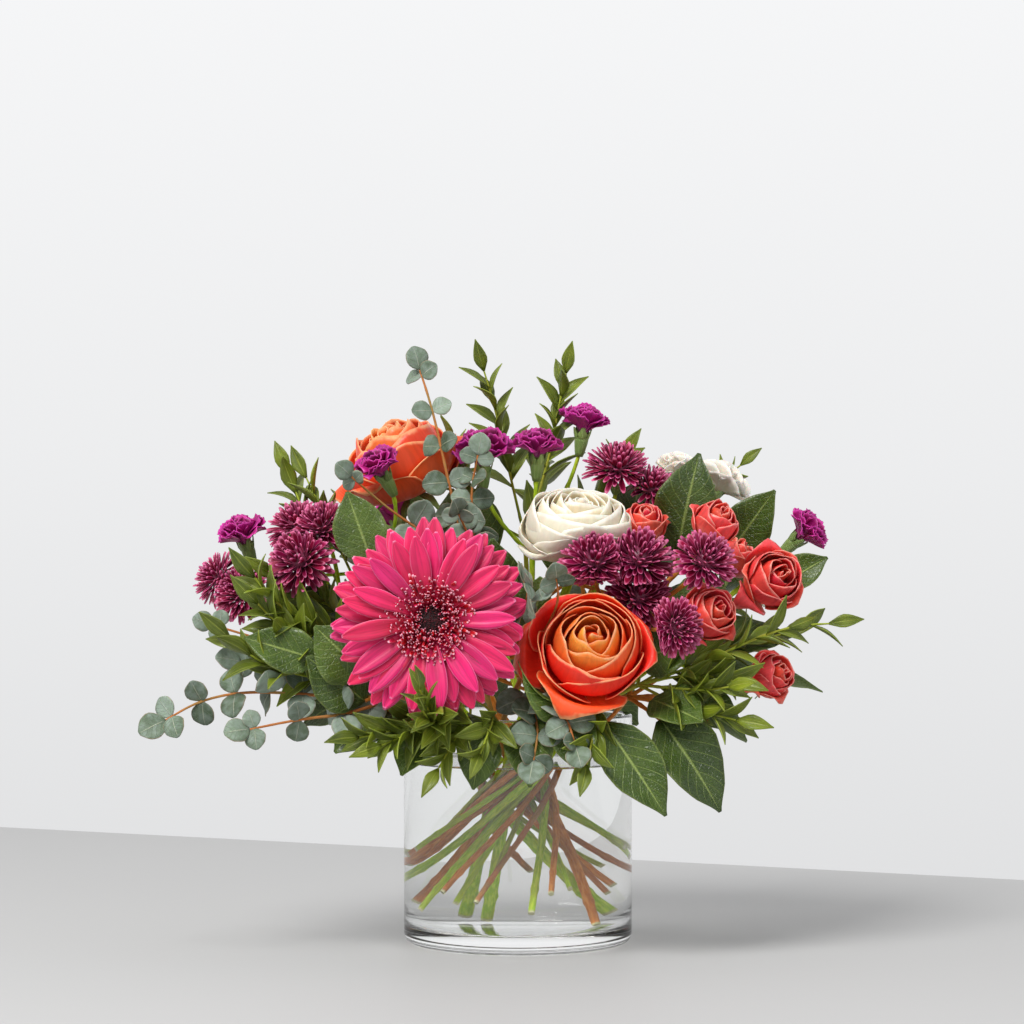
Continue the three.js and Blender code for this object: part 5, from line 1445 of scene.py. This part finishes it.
class Rose(Flower):
    """A rose: petals that spiral out from a closed heart, the outer ones turned back."""

    BUD = ((0, 0), (0.3, 0.04), (0.42, 0.2), (0.3, 0.45), (0.14, 0.7), (0.05, 0.86), (0, 0.88))

    def petal(self, form: RoseForm, share: float, angle: float) -> np.ndarray:
        """One petal.

        Args:
            form: the rose's form.
            share: how far out it is, from 0 at the heart to 1.
            angle: the angle of its middle about the axis.

        Returns:
            The grid, in radii.
        """
        rng = self.rng
        across, along = grid_of(form.rows, form.columns)
        opened = max((share - form.outer) / (1 - form.outer), 0.0) ** 1.3
        inner = min(share / form.outer, 1)
        bulge = mix(0.13, form.heart * 1.16, inner**0.85) + 0.16 * opened
        rim = mix(0.05, form.heart, inner**0.95) + (0.96 - form.heart) * opened
        top = form.height * (1 - 0.14 * inner**2 - form.droop * opened) * rng.uniform(0.92, 1.03)
        spread = math.radians(mix(128, 46, share**0.8)) * rng.uniform(0.92, 1.1)
        tip = form.point * mix(0.3, 1, share) * rng.uniform(0.6, 1.3)
        peak = rng.uniform(-0.2, 0.2)
        v = along * (1 - mix(0.16, 0.3, opened) * np.abs(across) ** 2.2)
        v = v + tip * along**3 * np.exp(-(((across - peak) / 0.3) ** 2))
        low, high, end = 3 * v * (1 - v) ** 2, 3 * v**2 * (1 - v), v**3
        radius = 0.1 * (1 - v) ** 3 + 1.2 * bulge * low + 1.06 * bulge * high + rim * end
        height = 0.06 * low + 0.72 * top * high + top * end
        half = spread * smooth_widths(along, (0, 0.45), (0.3, 0.85), (0.62, 1), (1, 0.8))
        back = np.clip(v - 0.72, 0, 1) ** 1.5 * 6.8 * form.reflex * mix(0.15, 1.0, opened) * share
        edge = form.reflex * mix(0.1, 0.7, opened) * share * np.abs(across) ** 3 * v**2
        wave = form.ruffle * v**2 * np.sin(rng.uniform(3.5, 5.5) * across + rng.uniform(0, 6.28))
        radius += back * 0.32 + edge * 0.4 + wave + mix(0.035, 0.05, share) * across * v
        slope = rng.uniform(-0.06, 0.06) * across * v
        height += slope + wave * 0.5 - back * mix(0.1, 0.7, opened) - edge * 0.6
        turn = angle + across * half
        return space(radius * np.cos(turn), radius * np.sin(turn), height)

    def mesh(self, form: RoseForm, finish: str) -> Mesh:
        """The petals, from the heart out, round a closed bud."""
        rng, size = self.rng, self.radius
        start, sheets = rng.uniform(0, math.tau), []
        for index in range(form.petals):
            share = index / (form.petals - 1)
            grid = self.petal(form, share, start + index * GOLDEN + rng.uniform(-0.12, 0.12))
            sheets.append(Sheet(grid * size * MM, rng.random(), share))
        petals = self.petals(mesh_of(sheets), 0.5, finish)
        bud = [(share * size, rise * form.height * size) for share, rise in self.BUD]
        return joined([petals, self.turned(bud, 20, finish)])


class Mum(Flower):
    """A button mum: quills all over a ball, shorter and curled in at its heart."""

    QUILLS = ((0.25, 0.3), (0.29, 0.45), (0.23, 0.1), (0.27, 0.6))  # their widths and curls
    COUNT = 132
    CORE = 0.46  # the share of the bloom's radius that its ball has
    PAINTED_SHADE_UV = 0.08  # where on the quills' map the ball takes its colour: next to their near-black foot, so that the ball is painted shade seen through the gaps between the quills

    def mesh(self, found: bpy.types.Collection) -> Mesh:
        """The quills and the core that they stand on, the core painted near-black as the shade between
        the quills.
        """
        size = self.radius
        centre, core = self.plan.habit.seat * size, self.CORE * size
        whorl = Whorl(self.COUNT, GOLDEN, (1.15, 128), (0, 5), (centre, centre),
                      (0.62 * size, 0.8 * size), (0.1, 0.14, 0.1), core=core * 0.55)
        petals = self.petals(self.grown(found, "burgundy", whorl), 0.3, "burgundy")
        ball = [(core * abs(math.sin(angle)), centre - core * math.cos(angle))
                for angle in np.linspace(0, math.pi, 7)]
        heart = self.turned(ball, 12, "burgundy")
        # the ball takes the quills' near-black foot colour: painted shade between the quills
        heart.uv_layers[0].data.foreach_set("uv", np.full(2 * len(heart.loops), self.PAINTED_SHADE_UV))
        return joined([petals, heart])


@dataclass(frozen=True)
class Carnations:
    """Carnations of one kind: toothed, ruffled fans crowded on calyxes."""

    kind: str
    letters: str
    finish: str
    fan: tuple[float, ...]
    petals: int
    tilt: float
    length: float

    def build(self, fans: Sequence[np.ndarray]) -> None:
        """Makes a piece for each carnation, of given petals."""
        with shapes(*fans) as found:
            for letter in self.letters:
                flower = Flower(f"{self.kind}_{letter}")
                size, long = flower.radius, self.length * flower.radius
                whorl = Whorl(self.petals, GOLDEN, (3.44, self.tilt), (0.2, 0.1 * size),
                              (0.02 * size, -0.02 * size), (long, 1.04 * long), (0.2, 0.16, 0.08))
                mesh = flower.petals(flower.grown(found, self.finish, whorl), 0.35, self.finish)
                piece(f"{self.kind}_{letter}_petals", mesh, self.finish,
                      f"carnation_{self.kind}_{letter}")


# ---- stems and calyxes


class Calyx(NamedTuple):
    """The calyx under a kind of bloom: a turned form, and straps round it where it has them.

    The form's radii and heights and the straps' reach and height are shares of the calyx's own
    radius and length. The straps are longer by a share of the bloom's radius.
    """

    profile: Profile
    sides: int
    repeats: int
    strap: tuple[float, ...] = ()
    whorl: Whorl | None = None
    swell: float = 0

    def meshes(self, name: str) -> list[Mesh]:
        """The calyx of one bloom."""
        flower, whorl = Flower(name), self.whorl
        long, wide = flower.plan.habit.calyx_length, flower.plan.habit.calyx_radius
        form = [(share * wide, rise * long) for share, rise in self.profile]
        made = [flower.turned(form, self.sides, "calyx", self.repeats)]
        if whorl:
            with shapes(strap_petal(*self.strap)) as found:
                grown = flower.grown(found, "calyx", whorl._replace(
                    reach=[share * wide for share in whorl.reach],
                    height=[rise * long for rise in whorl.height],
                    size=[size + self.swell * flower.radius for size in whorl.size]))
            made.append(thickened(flower.placed(grown), 0.35, "calyx"))
        return made


ROSE_CALYX = Calyx(
    ((0, -1), (0.42, -1), (0.72, -0.7), (0.78, -0.3), (0.7, 0), (0.9, 0.1), (0, 0.2)), 16, 5,
    (0.26, -0.9, 0.3, 1.4, 8),
    Whorl(5, 0, (84, 100), (0.5, 0.5), (0, 0), (2, 2), (0.15, 0.35, 0.15)), swell=0.5)
CALYXES = {
    Kind.GERBERA: Calyx(
        ((0, -1), (1 / 3, -1), (0.62, -0.6), (1, -0.2), (1, 0.6 / 7), (0, 0.8 / 7)), 24, 12,
        (0.2, -0.5, 0.2, 1.0, 6),
        Whorl(30, GOLDEN, (52, 74), (2.6 / 9, 6.5 / 9), (-1, -0.45), (9, 10), (0.1, 0.06, 0.06))),
    Kind.ROSE: ROSE_CALYX,
    Kind.SPRAY_ROSE: ROSE_CALYX,
    Kind.MUM: Calyx(((0, -1), (0.5, -1), (0.9, -0.4), (1, 0.3), (0, 1.2)), 16, 8),
    Kind.CARNATION: Calyx(
        ((0, -1), (0.5, -1), (0.68, -0.8), (0.9, -0.4), (0.95, -0.02), (0, 0.1)), 20, 10,
        (0.75, 0.2, 0.25, 1.6, 5),
        Whorl(5, 0, (20, 21), (0.82, 0.82), (-0.3, -0.3), (7.28, 7.28))),
}


def rounded(points: Sequence[Vector], radii: Sequence[float]) -> np.ndarray:
    """Cuts the corners of a row of points twice, and keeps its ends.

    Args:
        points: the row.
        radii: the radius of the stem at each point.

    Returns:
        One row of x, y, z and radius for each point.
    """
    row = np.array([[*point, radius] for point, radius in zip(points, radii)])
    for _ in range(2):
        near, far = row[:-1] * 0.75 + row[1:] * 0.25, row[:-1] * 0.25 + row[1:] * 0.75
        cut = np.stack([near, far], axis=1).reshape(-1, 4)
        row = np.concatenate([row[:1], cut[1:-1], row[-1:]])
    return row


@dataclass(frozen=True)
class Stem:
    """A plant's stem and twigs, and under cut flowers their calyxes."""

    name: str
    plan: Plant

    WOODY = ("rose_back_stem", "spray_rose_stem_high", "mum_stem_right", "mum_stem_back")
    SIDES = 14
    TRUNK = (0.84, 0.96)  # the radius at its foot and its top, as shares of the plan's
    TWIG = 0.68  # the same share where a twig starts
    ROOT = 3.0  # how far a twig starts inside the stem

    def lines(self) -> list[np.ndarray]:
        """The stem and its branches as rounded rows of x, y, z and radius in millimetres."""
        plan, trunk = self.plan, list(self.plan.trunk)
        if not plan.forked:
            trunk += plan.branches[0].points
        rows = [rounded(trunk, np.linspace(*self.TRUNK, len(trunk)) * plan.radius)]
        taper = 0.9 if plan.habitus in (Habitus.NONE, Habitus.BROAD) else 0.5
        inward = (trunk[-2] - trunk[-1]).normalized() * self.ROOT
        for branch in plan.branches if plan.forked else ():
            start = [trunk[-1] + inward, trunk[-1], *branch.points]
            radii = np.linspace(self.TWIG, self.TWIG * taper, len(start)) * plan.radius
            rows.append(rounded(start, radii))
        return rows

    def mesh(self, finish: str, sides: int) -> Mesh:
        """Round stems along the lines."""
        rows = self.lines()
        points = np.concatenate(rows)
        ends = np.cumsum([len(row) for row in rows])
        edges = [(index - 1, index) for index in range(1, len(points)) if index not in ends]
        base = new_mesh((points[:, :3] * MM).tolist(), edges, radius=points[:, 3] * MM)
        return dressed(rule(Tube).run(base, Sides=sides, Material=finished(finish)), finish)

    def build(self) -> None:
        """Makes the piece of the stem and the piece of its calyxes."""
        finish = "woody_stem" if self.name in self.WOODY else "green_stem"
        piece(f"{self.name}_tube", self.mesh(finish, self.SIDES), "stem", self.name)
        parts = [mesh for branch in self.plan.branches
                 for mesh in CALYXES[BLOOMS[branch.bloom].kind].meshes(branch.bloom)]
        piece(f"{self.name}_calyxes", joined(parts), "stem", self.name)


# ---- foliage


class Leaf(NamedTuple):
    """One leaf on its twig, in millimetres: where it starts, how it points, and its size."""

    base: Vector
    aim: Vector
    face: Vector
    size: float
    width: float = 0  # where it isn't its form's own


@dataclass(frozen=True)
class Foliage(Stem):
    """A leafy stem: a piece of twigs and a piece of leaves."""

    rng: random.Random

    FINISHES = {Habitus.ROUND: ("eucalyptus", "red_twig"), Habitus.NARROW: ("ruscus", "leaf_stem"),
                Habitus.BROAD: ("salal", "woody_stem")}
    SIDES = 10
    LEAF_MARGIN = 1.6  # between a leaf and a bloom
    WALL_MARGIN = 2.4  # between a leaf and the vase
    MOUTH = 30.0  # leaves nearer the vase's axis than this stay in its mouth
    DENSITY = {Habitus.ROUND: 1.05, Habitus.NARROW: 1.8}  # fine leaves for each plain one

    def along_twig(self, branch: Branch) -> Iterable[Leaf]:
        """The leaves of one twig: in pairs when they are round, in a spiral when narrow."""
        draw, narrow = self.rng.uniform, self.plan.habitus is Habitus.NARROW
        path = [self.plan.trunk[-1], *branch.points]
        row = rounded(path, [1.0] * len(path))[:, :3]
        steps = np.linalg.norm(np.diff(row, axis=0), axis=1)
        marks = np.concatenate([[0], np.cumsum(steps)]) / steps.sum()

        def at(share: float) -> Vector:
            """The place at a share of the twig's length."""
            return Vector([np.interp(share, marks, row[:, axis]) for axis in range(3)])

        count = max(2, round(branch.count * self.DENSITY[self.plan.habitus]))
        front, spiral = branch.front.normalized(), draw(0, math.tau)
        for index in range(count):
            late = index / (count - 1)
            share = mix(branch.start, 0.9 if narrow else 0.97, late)
            along = (at(min(share + 0.04, 1)) - at(share - 0.04)).normalized()
            side = along.cross(front).normalized()
            face = side.cross(along)
            if narrow:
                size = branch.size * mix(1.12, 0.84, late)
                angle = spiral + index * GOLDEN
                outward = side * math.cos(angle) + face * (0.7 * math.sin(angle) + 0.1)
                aim = along * mix(0.8, 1.3, late) * draw(0.85, 1.15) + outward
                up = along * 1.3 - outward * 0.6 + face * 0.7
                yield Leaf(at(share), aim.normalized(), up.normalized(), size * draw(0.85, 1.1))
                continue
            size = branch.size * mix(1, 0.62, late)
            swing = 0.75 if index % 2 else 0.0
            for hand in (1, -1):
                outward = side * (hand * (1 - 0.5 * swing) * draw(0.75, 1.15))
                aim = along * 0.15 + outward + face * (hand * swing * 0.9 + draw(-0.1, 0.45))
                up = face - side * hand * draw(0, 0.5) + along * draw(0, 0.5)
                yield Leaf(at(share), aim.normalized(), up.normalized(), size * draw(0.88, 1.1))
        yield Leaf(Vector(row[-1]), (along + face * 0.2).normalized(), face, branch.size * 0.8)

    def spots(self) -> Iterable[Leaf]:
        """The leaves of the plant."""
        for branch in self.plan.branches:
            if branch.tip is None:
                yield from self.along_twig(branch)
            else:
                base = branch.points[-1]
                way = branch.tip - base
                yield Leaf(base, way.normalized(), branch.front, way.length, branch.width)

    def leaves(self) -> Mesh:
        """All the leaves of the plant as one closed mesh."""
        shape, spots = LEAF_SHAPES[self.plan.habitus], list(self.spots())
        broad = self.plan.habitus is Habitus.BROAD
        parts = []
        for group in [[spot] for spot in spots] if broad else [spots]:
            wide = group[0].width / group[0].size if broad else 1.0
            grids = [shape.grid(self.rng) * (1, wide, 1) for _ in range(1 if broad else 5)]
            parts.append(self.set_leaves(group, grids))
        return thickened(moved(joined(parts), self.off), 0.45, self.FINISHES[self.plan.habitus][0])

    def set_leaves(self, spots: Sequence[Leaf], grids: Sequence[np.ndarray]) -> Mesh:
        """Leaves of given grids on given spots."""
        base, aim, face, size, _ = (np.array(column) for column in zip(*spots))
        mesh = new_mesh((base * MM).tolist(), aim=aim, face=face, size=size * MM)
        with shapes(*grids) as found:
            return rule(LeafRow).run(mesh, Shapes=found, Seed=self.rng.randrange(1000),
                                     Material=finished("salal"))

    def off(self, places: np.ndarray) -> np.ndarray:
        """Pushes places out of the blooms and off the vase's wall."""
        Rooms.clear(places, self.LEAF_MARGIN)
        radial = np.hypot(places[:, 0], places[:, 1])
        room = Vessel.radius + self.WALL_MARGIN
        low = places[:, 2] < Vessel.height + self.WALL_MARGIN
        low &= (radial < room) & (radial > self.MOUTH)
        places[low, :2] *= (room / radial[low])[:, None]
        return places

    def build(self) -> None:
        """Makes the piece of the twigs and the piece of the leaves."""
        leaf, wood = self.FINISHES[self.plan.habitus]
        piece(f"{self.name}_twigs", self.mesh(wood, self.SIDES), "stem", self.name)
        piece(f"{self.name}_leaves", self.leaves(), leaf, self.name)


# ---- vase, water and studio


def arc(edge: float, level: float, size: float, steps: int) -> list[Pair]:
    """The rounded corner between a floor at a level and a wall at an edge, from the floor up."""
    return [(edge - size * (1 - math.cos(angle)), level + size * (1 - math.sin(angle)))
            for angle in np.linspace(math.pi / 2, 0, steps)]


def held(profile: Profile, margin: float = 0.8) -> list[Pair]:
    """Adds rings close to the corners of a profile, so that its straight runs stay straight.

    Args:
        profile: radius and height, in millimetres.
        margin: how far from a corner its ring is.

    Returns:
        The fuller profile.
    """
    full = [profile[0]]
    for start, end in zip(profile, profile[1:]):
        length = math.dist(start, end)
        shares = (margin / length, 1 - margin / length, 1) if length > 4 * margin else (1,)
        full.extend((mix(start[0], end[0], share), mix(start[1], end[1], share))
                    for share in shares)
    return full


@dataclass(frozen=True)
class Vessel:
    """The clear glass cylinder with its thick base, and the water that wets it."""

    radius: float = 63.5
    height: float = 127
    wall: float = 3.5
    floor: float = 9.5
    heel: float = 6  # how round the inside is where its wall meets its floor
    foot: float = 5.5  # how round the edge that it stands on is
    punt: float = 0.9  # how far the middle of the underside is raised
    water_level: float = 100
    overlap: float = 0.15  # how far the water's side lies inside the glass's own surface
    meniscus: float = 1.3
    lip: float = 1.2  # how far down the round of the rim reaches
    sides: int = 96

    @property
    def inner(self) -> float:
        """The inner radius."""
        return self.radius - self.wall

    def glass(self) -> list[Pair]:
        """Radius and height round the glass, from the middle of the underside to the inside."""
        radius, inner, half = self.radius, self.inner, self.wall / 2
        rim = [(radius - half + math.cos(angle) * half, self.height + (math.sin(angle) - 1) * self.lip)
               for angle in np.linspace(0, math.pi, 7)]
        return [
            (0, self.punt), (radius - 14, self.punt), (radius - 9, 0),
            *arc(radius, 0, self.foot, 7), (radius, 40), (radius, 90), *rim, (inner, 90),
            (inner, 40), *arc(inner, self.floor, self.heel, 6)[::-1], (0, self.floor)]

    def water(self) -> list[Pair]:
        """Radius and height round the water, from its lowest point to the middle of its top."""
        side, low = self.inner + self.overlap, self.floor - self.overlap
        top = [(self.inner - back, self.water_level + self.meniscus * share)
               for back, share in ((-self.overlap, 1), (0.4, 0.7), (1.2, 0.25), (2.6, 0))]
        return [(0, low), *arc(side, low, self.heel, 6), (side, 40), *top, (0, self.water_level)]

    def build(self) -> None:
        """Makes both pieces."""
        for name, profile, node in (("glass", self.glass(), "vase"), ("water", self.water(), "water")):
            mesh = dressed(lathe(held(profile), self.sides), name)
            piece(f"vase_{name}", mesh, name, node).visible_shadow = False


@dataclass(frozen=True)
class Studio:
    """A plain pale floor, a soft key light from the left, a bright surround, and the camera."""

    edge_left: Point = (-392, 638, 0)  # two points of the floor's far edge
    edge_right: Point = (329, 292, 0)
    run: float = 3500
    near: float = -4200
    camera: Point = (-3.3, -1762, 239)
    lens: float = 111.2
    # the sine of the elevation, and how bright the surround is there
    sky: tuple[Pair, ...] = ((-0.12, 0.76), (0.02, 0.86), (0.16, 0.93), (0.34, 0.8), (0.7, 0.66))
    dim: float = 0.38  # how bright the surround is behind the camera, against the far side
    # each light's name, place, size in metres, power and colour
    lights: tuple[tuple, ...] = (
        ("key", (-900, -1500, 2100), 1.1, 62, (1, 0.99, 0.975)),
        ("fill", (1500, -1900, 900), 2.4, 12, (0.97, 0.985, 1)))

    def floor(self) -> Thing:
        """The floor, whose far edge runs as the photographed table's does."""
        left, right = Vector(self.edge_left), Vector(self.edge_right)
        way = (right - left).normalized() * self.run
        start, end = left - way, right + way * 0.5
        corners = (start, Vector((start.x, self.near, 0)), Vector((end.x, self.near, 0)), end)
        mesh = new_mesh([corner * MM for corner in corners], (), [(0, 1, 2, 3)])
        mesh.materials.append(finished("floor"))
        return shown("floor", mesh)

    def surround(self) -> bpy.types.World:
        """A white surround that is brightest a little over the horizon."""
        world = bpy.data.worlds.new("surround")
        world.use_nodes = True
        wiring = Wiring(world.node_tree)
        way = wiring.add("ShaderNodeTexCoord", output="Generated")
        height, depth = (wiring.add("ShaderNodeSeparateXYZ", {"Vector": way}, axis) for axis in "ZY")
        low, high = self.sky[0][0], self.sky[-1][0]
        stops = [((sine - low) / (high - low), (0.985 * glow, 0.99 * glow, glow, 1.0))
                 for sine, glow in self.sky]
        sky = world.node_tree.nodes["Background"].inputs
        wiring.put(sky["Color"], ((height - low) / (high - low)).ramp(*stops))
        wiring.put(sky["Strength"], wiring.blend(depth.between(-0.8, 0.1), self.dim, 1.0))
        return world

    def build(self) -> None:
        """Sets the floor, the lights, the world and the camera."""
        self.floor()
        for name, at, size, power, colour in self.lights:
            lamp = bpy.data.lights.new(name, "AREA")
            lamp.size, lamp.energy, lamp.color = size, power, colour
            thing, place = shown(name, lamp), Vector(at)
            thing.location = place * MM
            thing.rotation_euler = (place - Vector((0, 0, 150))).to_track_quat("Z", "Y").to_euler()
        scene = bpy.context.scene
        scene.view_settings.view_transform = "Standard"
        scene.world = self.surround()
        lens = bpy.data.cameras.new("camera")
        lens.lens, lens.sensor_width = self.lens, 36
        scene.camera = shown("camera", lens)
        scene.camera.location = Vector(self.camera) * MM
        scene.camera.rotation_euler = (math.pi / 2, 0, 0)


# ---- the bouquet


class Bouquet:
    """The whole bouquet in its vase."""

    ROSES = {
        "rose_front": (RoseForms.FRONT, "orange", "rose_front_bloom"),
        "rose_back": (RoseForms.BACK, "apricot", "rose_back_bloom"),
        "rose_white": (RoseForms.WHITE, "cream", "rose_white_bloom"),
        **{f"coral_{end}": (RoseForms.SPRAY, "coral", f"spray_rose_{end}")
           for end in (*"abcdef", "back")},
    }
    MUMS = {"mums_right": "ghk", "mum_high_right": "i", "mum_low_right": "j", "mums_top": "lm",
            "mums_left": "npo", "mums_far_left": "qs", "mums_back": "vw"}
    CARNATIONS = (Carnations("mini", "abcdefg", "magenta", (0.8, 0.022, 0.055, 0.5), 26, 66, 1.28),
                  Carnations("white", "ab", "white", (1.2, 0.006, 0.05, 1.15), 20, 86, 1.0))

    def build_stems(self) -> None:
        """Makes the cut flowers' stems, then the leafy ones."""
        for number, (name, plan) in enumerate(PLANTS.items()):
            if plan.habitus is Habitus.NONE:
                Stem(name, plan).build()
            else:
                Foliage(name, plan, random.Random(100 + number)).build()

    def build_blooms(self) -> None:
        """Makes the gerbera, the roses, the mums and the carnations."""
        Gerbera("gerbera").build()
        for name, (form, finish, node) in self.ROSES.items():
            piece(f"{name}_petals", Rose(name).mesh(form.value, finish), finish, node)
        with shapes(*(strap_petal(*form, 0.55, 0.5, 7) for form in Mum.QUILLS)) as found:
            for node, letters in self.MUMS.items():
                blooms = [Mum(f"mum_{letter}").mesh(found) for letter in letters]
                piece(f"{node}_quills", joined(blooms), "burgundy", node)
        rng = random.Random(7)
        for kind in self.CARNATIONS:
            kind.build([fan_petal(*kind.fan, rng.uniform(0, 6)) for _ in range(5)])

    def build(self) -> None:
        """Makes everything, from the vase out."""
        Vessel().build()
        self.build_stems()
        self.build_blooms()


def main() -> None:
    """Builds the bouquet and its stage, and logs its pieces."""
    logging.basicConfig(level=logging.INFO, format="%(message)s")
    Bouquet().build()
    Studio().build()


if __name__ == "__main__":
    main()
